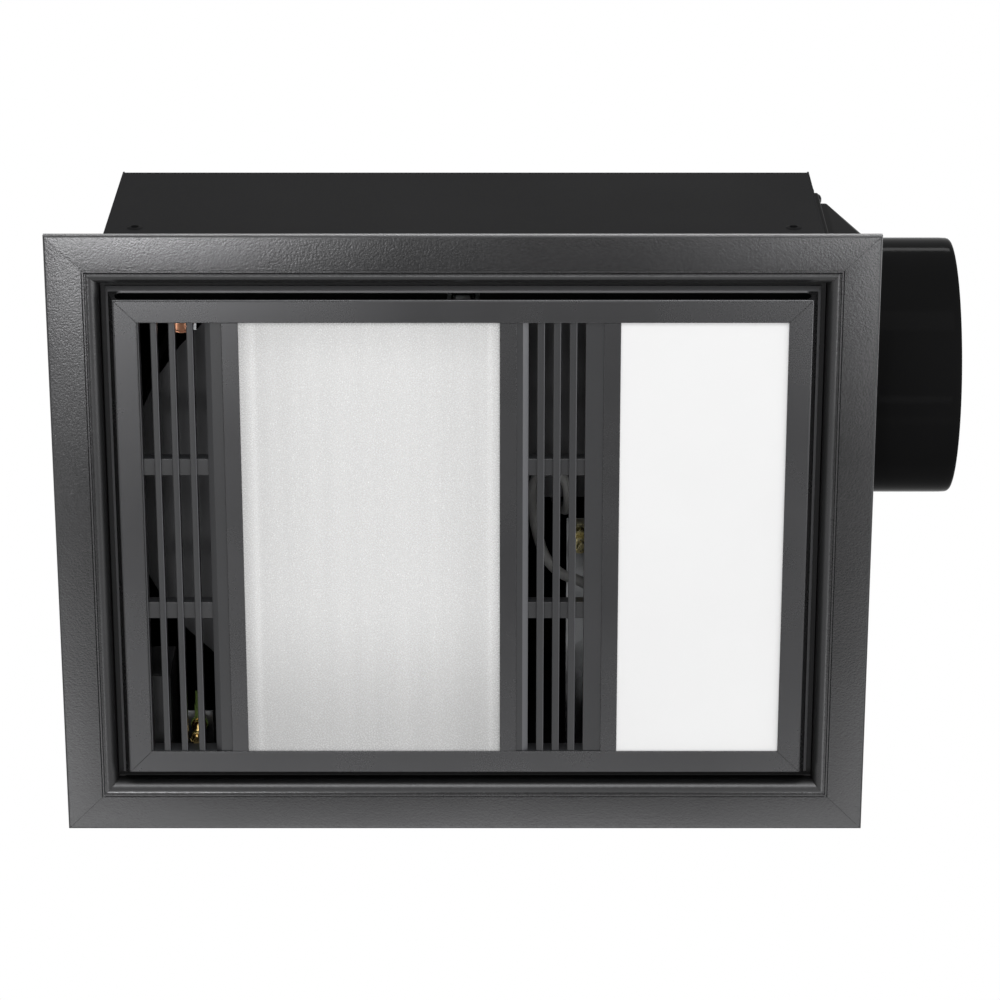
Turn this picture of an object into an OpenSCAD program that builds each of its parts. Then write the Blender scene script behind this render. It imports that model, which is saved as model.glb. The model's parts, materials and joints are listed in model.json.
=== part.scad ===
// Ceiling unit with an exhaust fan, a tube heater and a light panel behind one framed front.
// The frame origin is the middle of the ceiling line: z = 0 is the underside of the ceiling,
// the front looks down along -Z, the body goes up into the roof space and the duct leaves along +X.

/* [Fascia frame] */
// Width of the fascia frame along X
fascia_w = 460; // [450:1:500]
// Depth of the fascia frame along Y
fascia_d = 360; // [350:1:400]
// Width of the flat band round the fascia
band_w = 22; // [20:0.5:24]
// How far the band stands below the ceiling
band_drop = 4; // [3.5:0.1:5]
// Thickness of the rolled fascia and panel rails
rail_t = 1.2; // [1:0.1:1.4]
// Outer radius of the shoulder that rolls into the well
shoulder_r = 7; // [5:0.5:8]
// Height of the well's ledge above the ceiling line
ledge_z = 7; // [6:0.5:9]
// Width of the well's ledge
ledge_w = 14; // [12:0.5:14]
// Width of the shadow groove beside the shoulder
groove_w = 1; // [0.6:0.1:1.4]
// Depth of the shadow groove
groove_d = 0.5; // [0.3:0.1:0.7]
// Leg length of the L keys that join the fascia corners
fascia_key_leg = 46; // [30:1:60]
// Width of the L keys in the fascia corners
fascia_key_w = 12; // [8:1:14]

/* [Lift-down panel] */
// How far the panel's face stands below the ceiling
panel_drop = 5.5; // [4.5:0.1:7]
// Width of the panel's face rails
face_w = 13; // [12:0.5:14]
// How far the skirt flares outwards
skirt_flare = 5; // [4:0.5:6]
// Gap between the skirt's foot and the well
panel_gap = 3; // [2:0.5:4]
// Gap between the skirt's foot and the ledge above it
foot_gap = 0.3; // [0.2:0.05:0.5]
// Height of the long air slot in the front and rear skirts
slot_h = 6.6; // [5:0.2:7]
// How far the air slot stays back from the skirt's corners
slot_inset = 3.4; // [3:0.2:8]
// How far panes and grilles tuck under the face rails
tuck = 3; // [2:0.5:4]
// Leg length of the L keys in the panel corners
panel_key_leg = 30; // [20:1:40]
// Width of the L keys in the panel corners
panel_key_w = 6; // [4:0.5:6]

/* [Bays of the panel] */
// Width of the left grille bay
left_bay_w = 46.4; // [42:0.2:50]
// Width of the heater glass bay
glass_bay_w = 144.6; // [140:0.2:150]
// Width of the middle grille bay
mid_bay_w = 48.4; // [46:0.2:52]
// Width of each mullion's face
mullion_w = 9.3; // [9:0.1:12]
// Width of each mullion's web
web_w = 3.3; // [2.5:0.1:4]
// Thickness of each mullion's face strip
strip_t = 0.7; // [0.5:0.1:0.9]
// Gap between a pane's edge and the web beside it
pane_gap = 0.3; // [0.2:0.1:0.6]
// Thickness of the heater glass
glass_t = 4; // [3:0.5:5]
// Thickness of the light diffuser
diffuser_t = 3; // [2:0.5:4]
// Thickness of the ledges behind the heater glass
glass_foot_t = 1; // [0.8:0.1:1.5]
// Width of the ledges behind the heater glass
glass_foot_w = 4; // [3:0.5:6]

/* [Grilles] */
// Open gaps across each grille
grille_gaps = 4; // [3:1:4]
// Width of one gap in the left grille
left_gap_w = 6.4; // [5:0.1:6.6]
// Width of one slat in the left grille
left_slat_w = 3.6; // [3:0.1:4]
// Distance from the bay's edge to the left grille's first gap
left_lead = 0.7; // [0.5:0.1:1.5]
// Width of one gap in the middle grille
mid_gap_w = 4.75; // [4.2:0.05:5]
// Width of one slat in the middle grille
mid_slat_w = 4.2; // [3.5:0.1:4.4]
// Distance from the bay's edge to the middle grille's first gap
mid_lead = 6.7; // [6:0.1:7.5]
// Width of the sloped edge beside the outer gaps
slope_w = 3.2; // [2:0.2:3.6]
// Depth of that slope
slope_d = 2; // [1:0.2:3]
// Width of each cross bar
cross_w = 10; // [6:0.5:12]
// Distance of each cross bar from the middle
cross_y = 43.5; // [35:0.5:60]
// How far the cross bars lie behind the slats' fronts
cross_back = 3; // [2:0.5:5]

/* [Housing] */
// Thickness of the housing's sheet steel
housing_t = 1; // [0.8:0.1:1.2]
// Height of the housing above the ceiling
housing_h = 198; // [198:1:220]
// Gap between the well and the housing's side walls
well_gap_x = 1.8; // [1.5:0.1:3]
// Gap between the well and the housing's front and rear walls
well_gap_y = 3.8; // [1.5:0.1:4]
// Width of the housing's rim under the ceiling
rim_w = 12; // [10:0.5:13]
// Height of the rim's leg on the outside of the walls
rim_leg = 8; // [6:1:14]
// Width of the corner tabs that join the housing's sheets
tab_w = 10; // [8:1:14]
// Length of those tabs
tab_len = 30; // [20:1:40]
// Height of the screw holes in the front and rear walls
side_hole_z = 85; // [78:1:92]
// Distance of those holes from the side walls
side_hole_inset = 17; // [12:1:22]
// Radius of those holes
side_hole_r = 2.2; // [2:0.1:2.6]
// Distance of the fascia's lugs from the middle along Y
lug_y = 95; // [80:1:110]
// Width of each fascia lug
lug_w = 18; // [14:1:24]

/* [Duct adaptor] */
// Outer radius of the duct collar
collar_r = 74; // [70:0.5:74]
// Length of the duct collar
collar_len = 48; // [40:1:60]
// Wall of the collar and the adaptor
collar_t = 2.4; // [2:0.1:2.6]
// Distance of the duct's axis from the middle line
duct_y = 69; // [66:1:72]
// Height of the duct's axis above the ceiling
duct_z = 100; // [96:1:104]
// Width of the adaptor's flange along Y
flange_y = 164; // [160:1:170]
// Height of the adaptor's flange along Z
flange_z = 158; // [154:1:164]
// Thickness of the adaptor's flange
flange_t = 4; // [3:0.5:5]
// How far the adaptor's box stays in from its flange
box_inset = 4; // [3:0.5:5]
// Height of the adaptor's box before it tapers
box_h = 4.5; // [3:0.5:8]
// Corner radius of the adaptor's box
box_r = 12; // [11:1:24]
// Length of the taper from the box to the collar
taper_len = 19.5; // [16:0.5:26]

/* [Backdraft flap] */
// How far the flap's pivot lies above the duct's axis
pivot_up = 14; // [10:1:16]
// How far along the collar the pivot lies
pivot_in = 10; // [9:0.5:16]
// Thickness of the flap
flap_t = 1.4; // [1.2:0.1:1.8]
// Gap between the flap's edge and the collar's bore
flap_gap = 2.2; // [2:0.1:3]
// Radius of the flap's pin
flap_pin_r = 1.5; // [1.2:0.1:2]
// Radial running clearance of the flap's pin
pin_clear = 0.05; // [0.02:0.01:0.08]
// How far the flap's seat stands in from the collar's bore
seat_w = 3.4; // [3:0.2:5]

/* [Blower] */
// Radius of the impeller over its blades
impeller_r = 84; // [78:1:86]
// Radial depth of the blades
blade_depth = 14; // [10:1:18]
// Height of the blades
blade_h = 68; // [60:1:70]
// Number of blades
blade_count = 36; // [24:1:42]
// Thickness of one blade
blade_t = 0.9; // [0.7:0.1:1.2]
// Height of the scroll's floor above the ceiling
scroll_z = 73; // [72:1:76]
// Clear height inside the scroll
scroll_h = 93; // [92:1:96]
// Thickness of the scroll's sheet
scroll_t = 1.2; // [1:0.1:1.6]
// Gap between the impeller and the scroll's tongue
tongue_gap = 8; // [6:1:9]
// How much the spiral opens out over three quarters of a turn
spiral_grow = 58; // [50:1:60]
// Distance of the blower's axis from the middle along X
blower_x = 60; // [56:1:62]
// Clear gap between the scroll's outer wall and the housing's front wall
scroll_side_gap = 16.5; // [15:0.5:18]
// Radius of the inlet's throat
inlet_r = 70; // [64:1:72]
// Rounding of the inlet's lip
lip_r = 5; // [3:0.5:6]
// Radius of the motor shaft
shaft_r = 4; // [3:0.5:5]
// Radial running clearance of the motor shaft
shaft_clear = 0.05; // [0.02:0.01:0.09]
// Radius of the motor's can
motor_r = 46; // [40:1:50]
// Gap between the motor's can and the housing's roof
motor_top_gap = 3; // [2:0.5:6]

/* [Heater] */
// Height of the reflector's rim above the ceiling
heater_z = 12; // [11:0.5:13]
// Depth of the reflector's trough
trough_h = 32; // [30:1:34]
// How far the trough's rims stay in from the glass bay
rim_in = 15; // [12:1:18]
// Thickness of the reflector's sheet
reflector_t = 0.8; // [0.6:0.1:1]
// Gap between the heat shield's ends and the spring brackets
shield_end_gap = 4; // [3:0.5:12]
// How far the reflector stays in from the shield's ends
reflector_in = 9; // [8.5:0.5:12]
// Gap between the reflector and its heat shield
shield_gap = 4; // [3:0.5:4]
// Thickness of the heat shield
shield_t = 0.8; // [0.6:0.1:1]
// Outer radius of a quartz tube
tube_r = 5; // [4:0.5:6]
// Wall of a quartz tube
tube_wall = 1; // [0.8:0.1:1.2]
// Distance between the two tubes
tube_pitch = 24; // [22:1:30]
// Height of the tubes above the reflector's rim
tube_up = 17; // [15:1:20]
// Radius of the heating wire's winding
wire_r = 2; // [1.5:0.1:2.5]
// Width and height of a ceramic end cap
cap_w = 15; // [14:0.5:16]
// Length of a ceramic end cap
cap_len = 18; // [14:1:20]

/* [Light] */
// Depth of the light's tray behind the diffuser
tray_h = 14; // [12:0.5:16]
// Thickness of the light's tray
tray_t = 1; // [0.8:0.1:1.4]
// Width of the tray's rim on the diffuser
tray_rim = 6; // [4:0.5:8]
// Thickness of the light's circuit board
board_t = 1.2; // [1:0.1:1.6]
// Side of one light chip
chip_w = 3.5; // [2.5:0.1:5]
// Height of one light chip
chip_h = 0.8; // [0.6:0.1:1.2]
// Chips across the board
chip_cols = 4; // [2:1:5]
// Chips along the board
chip_rows = 12; // [6:1:14]

/* [Panel springs] */
// How far the panel lifts down
panel_travel = 50; // [30:1:50]
// Radius of the spring wire
spring_wire_r = 0.8; // [0.6:0.1:1]
// Mean radius of the spring's coil
spring_r = 5; // [4:0.5:6]
// Turns in the spring's coil
spring_turns = 2.5; // [1.5:1:2.5]
// Height of the spring brackets above the ceiling
bracket_z = 14; // [13:0.5:15]

/* [Services] */
// Radius of the cable hole through the grommet
cable_r = 6.5; // [5:0.5:8]
// Thickness of the grommet's rubber round the hole
grommet_t = 3; // [2:0.5:4]
// Width of the terminal box along Y
term_w = 56; // [50:1:60]
// Depth of the terminal box along X
term_d = 34; // [30:1:36]
// Height of the terminal box along Z
term_h = 42; // [36:1:44]
// Radius of the motor's run capacitor
capacitor_r = 15; // [12:1:18]
// Length of the run capacitor
capacitor_len = 52; // [40:1:60]
// Radius of the shank of every panel screw
screw_r = 1.7; // [1.5:0.1:2]
// Radius of the head of every panel screw
screw_head_r = 3.3; // [3:0.1:3.6]
// Height of the head of every panel screw
screw_head_h = 2.2; // [1.8:0.1:2.4]
// Radial clearance of every screw hole
screw_clear = 0.25; // [0.2:0.05:0.35]

/* [Hidden] */
$fn = 48;
eps = 0.01;
hairline = 0.05;

// Plan sizes of the fascia, from the outside inwards
fascia_hx = fascia_w / 2;
fascia_hy = fascia_d / 2;
well_hx = fascia_hx - band_w - shoulder_r;
well_hy = fascia_hy - band_w - shoulder_r;
ledge_hx = well_hx - ledge_w;

// Plan and height of the lift-down panel
foot_hx = well_hx - panel_gap;
foot_hy = well_hy - panel_gap;
face_hx = foot_hx - skirt_flare;
face_hy = foot_hy - skirt_flare;
open_hx = face_hx - face_w;
open_hy = face_hy - face_w;
foot_z = ledge_z - foot_gap;
face_z = -panel_drop;
back_z = face_z + rail_t;
tuck_hx = open_hx + tuck;
tuck_hy = open_hy + tuck;

// Left edges of the bays and mullions across the opening
mull_1 = -open_hx + left_bay_w;
mull_2 = mull_1 + mullion_w + glass_bay_w;
mull_3 = mull_2 + mullion_w + mid_bay_w;
web_in = (mullion_w - web_w) / 2;
glass_x0 = mull_1 + mullion_w - web_in + pane_gap;
glass_x1 = mull_2 + web_in - pane_gap;
glass_mid = (glass_x0 + glass_x1) / 2;
glass_back = back_z + glass_t;
diffuser_x0 = mull_3 + mullion_w - web_in + pane_gap;
diffuser_back = back_z + diffuser_t;
board_x0 = diffuser_x0 + tray_rim + 2;
board_x1 = tuck_hx - tray_rim - 2;
board_hy = tuck_hy - tray_rim - 2;
board_z = diffuser_back + tray_h - tray_t - board_t;

// Housing walls, as half sizes to their inner faces
in_hx = well_hx + rail_t + well_gap_x;
in_hy = well_hy + rail_t + well_gap_y;
out_hx = in_hx + housing_t;
out_hy = in_hy + housing_t;
roof_z = housing_h - housing_t;
side_hole_x = out_hx - side_hole_inset;
lug_z = ledge_z + rail_t;
lug_x = ledge_hx + screw_head_r + 1.2;
tab_z = 14;
tab_leg = 6;
lug_leg = 7;
tab_step = (roof_z - tab_len - 2 * tab_z) / 2;

// Duct adaptor and collar
taper_x = out_hx + flange_t + box_h;
collar_x = taper_x + taper_len;
collar_end = collar_x + collar_len;
bore_r = collar_r - collar_t;
pivot_x = collar_x + pivot_in;
pivot_z = duct_z + pivot_up;
flap_r = bore_r - flap_gap;
screw_edge = 4.6;
screw_corner_y = flange_y / 2 - screw_edge;
screw_corner_z = flange_z / 2 - screw_edge;
flange_mid_z = duct_z + 1;
pin_half = sqrt(bore_r * bore_r - pivot_up * pivot_up);
boss_in = 3;
boss_r = 4;
rib_pitch = 24;
rib_down = 46;
rib_h = 1.6;

// Blower, measured from its own axis
tongue_r = impeller_r + tongue_gap;
spiral_end_r = tongue_r + spiral_grow;
blower_y = -in_hy + scroll_side_gap + scroll_t + spiral_end_r;
scroll_top = scroll_z + scroll_h;
outlet_far = -spiral_end_r;
outlet_near = -tongue_gap - 6;
outlet_len = in_hx + blower_x;
scroll_flange = 5;
blade_z = scroll_z + 12;
blade_top = blade_z + blade_h;
back_t = 1.4;
ring_h = 1.6;
hub_r = 12;
hub_h = 24;
nut_h = 5.5;
motor_base = scroll_top + scroll_t;
motor_top = roof_z - motor_top_gap;
bearing_r = 2 * shaft_r;
bearing_h = 6;
standoff_r = 4;
standoff_at = [[62, 96], [-62, 96], [-112, -70], [70, -96]];
motor_screw_r = motor_r - 6;

// Heater, whose ends stay clear of the panel's springs
spring_y = open_hy + 8;
spring_bracket_in = 7;
heater_x0 = glass_x0 + rim_in;
heater_x1 = glass_x1 - rim_in;
trough_top = heater_z + trough_h;
tube_z = heater_z + tube_up;
shield_x0 = heater_x0 - rim_in + 1;
shield_x1 = heater_x1 + rim_in - 1;
shield_hy = spring_y - spring_bracket_in - shield_end_gap;
reflector_len = 2 * (shield_hy - reflector_in);
shield_top = trough_top + reflector_t + shield_gap;
cap_y = reflector_len / 2 - 12;
vent_x = 45;
vent_pitch = 30;
vent_len = 24;

// Services
term_y = in_hy - 36;
term_z = 18;
term_t = 2;
term_lip = 3;
way_pitch = 11;
way_len = 16;
way_h = 14;
way_r = 2;
way_screws = [4, 12];
way_x = -in_hx + 9;
way_z = term_z + term_h - term_t - way_h;
cable_z = term_z + 15;
grommet_lip = 2.5;
earth_x = -in_hx + 48.5;
earth_y = in_hy - 25;
earth_z = 36;
stud_x = mull_3 - 11;
stud_y = 18;
stud_z = 56;
cutout_x = -in_hx + 45.5;
cutout_y = -in_hy + 36;
cutout_z = 36;
strip_w = 16;
sheet_t = 1.2;
bracket_leg = 14;
m4_r = 2;
m5_r = 2.5;
m4_hex_r = 4.2;
m5_hex_r = 4.6;
stud_clear = 0.2;
stud_len = 24;
heater_bracket_w = 40;
heater_bracket_up = 16;
driver_d = 34;
driver_w = 72;
driver_h = 26;
driver_y = in_hy - 96;
driver_z = 44;
capacitor_x = 120;
capacitor_z = 112;
capacitor_y = in_hy - capacitor_r - 6;
clip_h = 14;
clip_wing = 8;
ear_t = 2.5;
ear_w = 8;
spring_room = 6;
spring_bracket_w = 28;
saddle_t = 1;
saddle_w = 8;
hook_z = bracket_z + saddle_t + panel_travel + 2;
coil_z = back_z + saddle_t + spring_r + spring_wire_r + 1;
coil_pitch = 2 * spring_wire_r + 0.45;
wire_sides = 8;
lead_r = 3;
lead_top = (motor_base + motor_top) / 2;
lead_route = [
    [in_hx - driver_d, driver_y + 36, 60], [160, 96, 60], [148, 95, 58], [132, 90, 53], [114, 80, 46],
    [96, 64, 40], [80, 50, 37], [66, 41, 37], [56, 38, 40], [48, 32, 46], [43, 22, 53], [40, 9, 58],
    [39, -6, 61], [43, -16, 60], [51, -19, 58], [58, -13, 57], [60, -2, 59], [59, 8, 66], [56, 12, 80],
    [53, 13, 100], [52, 13, 124], [50, 13, 148], [47, 13, 163], [40, 13, lead_top - 4],
    [28, 12, lead_top], [10, 12, lead_top], [motor_r - blower_x + 0.15, 12, lead_top]
];

// A plate with rounded corners, lying in the XY plane and standing on it
module rounded_plate(w, d, t, r) {
    linear_extrude(t)
        union() {
            square([w - 2 * r, d], center = true);
            square([w, d - 2 * r], center = true);
            for (sx = [-1, 1], sy = [-1, 1])
                translate([sx * (w / 2 - r), sy * (d / 2 - r)])
                    circle(r);
        }
}

// Turns a shape drawn in the XZ plane into a bar along Y
module bar_y(len) {
    rotate([90, 0, 0])
        linear_extrude(len, center = true)
            children();
}

// Turns a shape drawn in the YZ plane into a bar along X
module bar_x(len) {
    rotate([90, 0, 90])
        linear_extrude(len, center = true)
            children();
}

// Keeps one rail of a frame between its two mitre cuts
module mitred(half, other, reach, low, high) {
    e = half - other + hairline;
    u0 = half - reach;
    u1 = half + 1;
    intersection() {
        children();
        translate([0, 0, low])
            linear_extrude(high - low)
                polygon([[u0, u0 - e], [u1, u1 - e], [u1, e - u1], [u0, e - u0]]);
    }
}

// Cross section of a fascia rail whose outer edge lies at half
module fascia_profile(half) {
    shoulder_u = half - band_w;
    well_u = shoulder_u - shoulder_r;
    difference() {
        translate([shoulder_u - eps, -band_drop])
            square([band_w + eps, rail_t]);
        translate([shoulder_u, -band_drop - eps])
            square([groove_w, groove_d + eps]);
    }
    translate([half - rail_t, -band_drop])
        square([rail_t, band_drop]);
    intersection() {
        translate([shoulder_u, shoulder_r - band_drop])
            difference() {
                circle(shoulder_r, $fn = 64);
                circle(shoulder_r - rail_t, $fn = 64);
            }
        translate([well_u - 1, -band_drop - 1])
            square([shoulder_r + 1, shoulder_r + 1]);
    }
    translate([well_u, shoulder_r - band_drop - eps])
        square([rail_t, ledge_z + rail_t - shoulder_r + band_drop + eps]);
    translate([well_u - ledge_w, ledge_z])
        square([ledge_w + rail_t, rail_t]);
}

// One mitred fascia rail, turned to its side of the frame
module fascia_rail(turn, half, other, screwed) {
    color([0.22, 0.22, 0.23])
        rotate([0, 0, turn])
            difference() {
                mitred(half, other, band_w + shoulder_r + ledge_w + 10, -band_drop - 1, ledge_z + rail_t + 1)
                    bar_y(2 * other)
                        fascia_profile(half);
                if (screwed)
                    for (s = [-1, 1])
                        translate([lug_x, s * lug_y, ledge_z - 1])
                            cylinder(r = screw_r + screw_clear, h = rail_t + 2);
                else
                    translate([spring_y - spring_room - 4, -spring_r - 4, ledge_z - 1])
                        cube([2 * spring_room + 4, 2 * spring_r + 8, rail_t + 2]);
            }
}

module fascia_rail_right() {
    fascia_rail(0, fascia_hx, fascia_hy, true);
}

module fascia_rail_left() {
    fascia_rail(180, fascia_hx, fascia_hy, true);
}

module fascia_rail_rear() {
    fascia_rail(90, fascia_hy, fascia_hx, false);
}

module fascia_rail_front() {
    fascia_rail(270, fascia_hy, fascia_hx, false);
}

// L keys that lie behind the band and carry the frame against the housing's rim
module fascia_corner_keys() {
    key_t = band_drop - rail_t - housing_t;
    kx = fascia_hx - rail_t - 1;
    ky = fascia_hy - rail_t - 1;
    color("dimgray")
        for (sx = [-1, 1], sy = [-1, 1])
            scale([sx, sy, 1])
                translate([0, 0, rail_t - band_drop])
                    linear_extrude(key_t)
                        difference() {
                            translate([kx - fascia_key_leg, ky - fascia_key_leg])
                                square(fascia_key_leg);
                            translate([kx - fascia_key_leg - 1, ky - fascia_key_leg - 1])
                                square(fascia_key_leg + 1 - fascia_key_w);
                        }
}

// Roof with the front and rear walls, folded from one sheet
module housing_wrap() {
    color([0.13, 0.13, 0.13])
        difference() {
            translate([-in_hx, -out_hy, -housing_t])
                cube([2 * in_hx, 2 * out_hy, housing_h + housing_t]);
            translate([-in_hx - 1, -in_hy, -housing_t - 1])
                cube([2 * in_hx + 2, 2 * in_hy, roof_z + housing_t + 1]);
            for (sx = [-1, 1], sy = [-1, 1])
                scale([sx, sy, 1])
                    translate([side_hole_x, in_hy - 1, side_hole_z])
                        rotate([-90, 0, 0])
                            cylinder(r = side_hole_r, h = housing_t + 2);
            for (p = standoff_at)
                translate([p[0] - blower_x, p[1] + blower_y, roof_z - 1])
                    cylinder(r = screw_r + screw_clear, h = housing_t + 2);
        }
}

// Flat end plates: the right one lets the blower's outlet through, the left one the cable
module housing_ends() {
    color([0.13, 0.13, 0.13])
        difference() {
            for (sx = [-1, 1])
                scale([sx, 1, 1])
                    translate([in_hx, -out_hy, -housing_t])
                        cube([housing_t, 2 * out_hy, housing_h + housing_t]);
            translate([in_hx - 1, blower_y + outlet_far, scroll_z])
                cube([housing_t + 2, outlet_near - outlet_far, scroll_h]);
            adaptor_screw_places()
                cylinder(r = screw_r + screw_clear, h = 30, center = true);
            translate([-in_hx + 1, term_y, cable_z])
                rotate([0, -90, 0])
                    cylinder(r = cable_r + grommet_t, h = housing_t + 2);
        }
}

// Folded angles inside the box: tabs along its corners, and the lugs that take the fascia's screws
module housing_tabs() {
    color([0.13, 0.13, 0.13])
        for (sx = [-1, 1])
            scale([sx, 1, 1]) {
                for (sy = [-1, 1])
                    scale([1, sy, 1]) {
                        translate([in_hx - housing_t, lug_y - lug_w / 2, lug_z])
                            cube([housing_t, lug_w, lug_leg]);
                        difference() {
                            translate([ledge_hx, lug_y - lug_w / 2, lug_z])
                                cube([in_hx - ledge_hx, lug_w, housing_t]);
                            translate([lug_x, lug_y, lug_z - 1])
                                cylinder(r = screw_r + screw_clear, h = housing_t + 2);
                        }
                        for (i = [0:2])
                            translate([0, 0, tab_z + i * tab_step]) {
                                translate([in_hx - tab_w, in_hy - housing_t, 0])
                                    cube([tab_w, housing_t, tab_len]);
                                translate([in_hx - housing_t, in_hy - tab_leg, 0])
                                    cube([housing_t, tab_leg, tab_len]);
                            }
                    }
                for (i = [-1:1])
                    translate([0, i * (in_hy - tab_len) - tab_len / 2, 0]) {
                        translate([in_hx - tab_w, 0, roof_z - housing_t])
                            cube([tab_w, tab_len, housing_t]);
                        translate([in_hx - housing_t, 0, roof_z - tab_leg])
                            cube([housing_t, tab_len, tab_leg]);
                    }
            }
}

// Angle frame round the foot of the box: its flange lies against the underside of the ceiling
module housing_rim() {
    rim_hx = in_hx + rim_w;
    rim_hy = in_hy + rim_w;
    leg_hx = out_hx + housing_t;
    leg_hy = out_hy + housing_t;
    color([0.13, 0.13, 0.13])
        difference() {
            union() {
                translate([-rim_hx, -rim_hy, -housing_t])
                    cube([2 * rim_hx, 2 * rim_hy, housing_t]);
                translate([-leg_hx, -leg_hy, -housing_t])
                    cube([2 * leg_hx, 2 * leg_hy, rim_leg + housing_t]);
            }
            translate([-out_hx, -out_hy, -housing_t - 1])
                cube([2 * out_hx, 2 * out_hy, rim_leg + housing_t + 2]);
        }
}

// Places a child at each screw of the duct adaptor, with +Z out of the wall
module adaptor_screw_places() {
    for (sy = [-1, 1], sz = [-1, 1])
        translate([out_hx + flange_t, -duct_y + sy * screw_corner_y, flange_mid_z + sz * screw_corner_z])
            rotate([0, 90, 0])
                children();
}

// One pan-head screw: the head stands on z = 0, the shank points down
module pan_screw(len) {
    difference() {
        union() {
            cylinder(r = screw_head_r, h = screw_head_h * 0.55, $fn = 32);
            translate([0, 0, screw_head_h * 0.55])
                cylinder(r1 = screw_head_r, r2 = screw_head_r * 0.6, h = screw_head_h * 0.45, $fn = 32);
            translate([0, 0, -len])
                cylinder(r = screw_r, h = len + eps, $fn = 24);
        }
        for (a = [0, 90])
            rotate([0, 0, a])
                translate([-screw_head_r * 0.55, -0.35, screw_head_h - 0.9])
                    cube([screw_head_r * 1.1, 0.7, 2]);
    }
}

// All the alike screws: fascia, adaptor, roof and motor
module pan_screws() {
    color("silver") {
        for (sx = [-1, 1], sy = [-1, 1])
            translate([sx * lug_x, sy * lug_y, ledge_z])
                rotate([180, 0, 0])
                    pan_screw(rail_t + housing_t + 3);
        adaptor_screw_places()
            pan_screw(flange_t + housing_t + 3);
        for (p = standoff_at)
            translate([p[0] - blower_x, p[1] + blower_y, housing_h])
                pan_screw(8);
        for (a = [45:90:315])
            translate([-blower_x, blower_y, scroll_top])
                rotate([0, 0, a])
                    translate([motor_screw_r, 0, 0])
                        rotate([180, 0, 0])
                            pan_screw(scroll_t + 6);
    }
}

// Solid form of the adaptor: flange box, taper and the start of the collar
module adaptor_form(shrink) {
    hull() {
        translate([out_hx + flange_t - eps, -duct_y, flange_mid_z])
            rotate([90, 0, 90])
                rounded_plate(flange_y - 2 * (box_inset + shrink), flange_z - 2 * (box_inset + shrink),
                    box_h, box_r - shrink, $fn = 32);
        translate([collar_x - 1, -duct_y, duct_z])
            rotate([0, 90, 0])
                cylinder(r = collar_r - shrink, h = 1, $fn = 96);
    }
}

// Half of a seat ring: the child keeps the lower or the upper half of the collar's bore
module flap_seat(x0, lower) {
    difference() {
        translate([x0, -duct_y, duct_z])
            rotate([0, 90, 0])
                difference() {
                    cylinder(r = bore_r + eps, h = 1.6, $fn = 96);
                    translate([0, 0, -1])
                        cylinder(r = bore_r - seat_w, h = 4, $fn = 96);
                }
        translate([x0 - 1, -duct_y - collar_r, lower ? pivot_z - 6 : duct_z - collar_r])
            cube([4, 2 * collar_r, lower ? 2 * collar_r : collar_r + pivot_up + 6]);
    }
}

// Flanged adaptor with the round collar, the flap's seat and the pin's bosses
module duct_adaptor() {
    color([0.05, 0.05, 0.05])
        difference() {
            union() {
                difference() {
                    union() {
                        translate([out_hx, -duct_y, flange_mid_z])
                            rotate([90, 0, 90])
                                rounded_plate(flange_y, flange_z, flange_t, 7);
                        adaptor_form(0);
                        translate([collar_x - eps, -duct_y, duct_z])
                            rotate([0, 90, 0])
                                cylinder(r = collar_r, h = collar_len + eps, $fn = 96);
                    }
                    adaptor_form(collar_t);
                    translate([out_hx - 1, -duct_y, flange_mid_z])
                        rotate([90, 0, 90])
                            rounded_plate(flange_y - 2 * (box_inset + collar_t),
                                flange_z - 2 * (box_inset + collar_t), flange_t + 2, box_r - collar_t);
                    translate([collar_x - 2, -duct_y, duct_z])
                        rotate([0, 90, 0])
                            cylinder(r = bore_r, h = collar_len + 4, $fn = 96);
                }
                flap_seat(pivot_x - flap_t / 2 - 1.9, true);
                flap_seat(pivot_x + flap_t / 2 + 0.3, false);
                intersection() {
                    for (s = [-1, 1])
                        translate([pivot_x, -duct_y + s * (pin_half - boss_in), pivot_z])
                            rotate([-90 * s, 0, 0])
                                cylinder(r = boss_r, h = boss_in + 2);
                    translate([collar_x, -duct_y, duct_z])
                        rotate([0, 90, 0])
                            cylinder(r = collar_r - 0.5, h = collar_len, $fn = 96);
                }
            }
            translate([pivot_x, -duct_y, pivot_z])
                rotate([90, 0, 0])
                    cylinder(r = flap_pin_r + pin_clear, h = 2 * (pin_half + 0.8), center = true);
            adaptor_screw_places()
                cylinder(r = screw_r + screw_clear, h = 3 * flange_t, center = true);
        }
}

// Round flap that hangs across the collar and swings open with the air stream
module backdraft_flap() {
    color("dimgray")
        difference() {
            union() {
                translate([pivot_x - flap_t / 2, -duct_y, duct_z])
                    rotate([0, 90, 0])
                        cylinder(r = flap_r, h = flap_t, $fn = 96);
                translate([pivot_x, -duct_y, pivot_z])
                    rotate([90, 0, 0])
                        cylinder(r = flap_pin_r + 1.2, h = 2 * (pin_half - boss_in - 2), center = true);
                for (s = [-1, 0, 1])
                    translate([pivot_x + flap_t / 2 - eps, -duct_y + s * rib_pitch - 1, duct_z - rib_down])
                        cube([rib_h, 2, rib_down + pivot_up]);
            }
            translate([pivot_x, -duct_y, pivot_z])
                rotate([90, 0, 0])
                    cylinder(r = flap_pin_r + 0.02, h = 3 * collar_r, center = true);
            for (s = [-1, 1])
                translate([pivot_x - 5, -duct_y + s * (pin_half - boss_in + 3.5) - 4, pivot_z - boss_r - 1.5])
                    cube([10, 8, 2 * boss_r + 3]);
        }
}

module flap_pin() {
    color("silver")
        translate([pivot_x, -duct_y, pivot_z])
            rotate([90, 0, 0])
                cylinder(r = flap_pin_r, h = 2 * (pin_half + 0.4), center = true);
}

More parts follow.
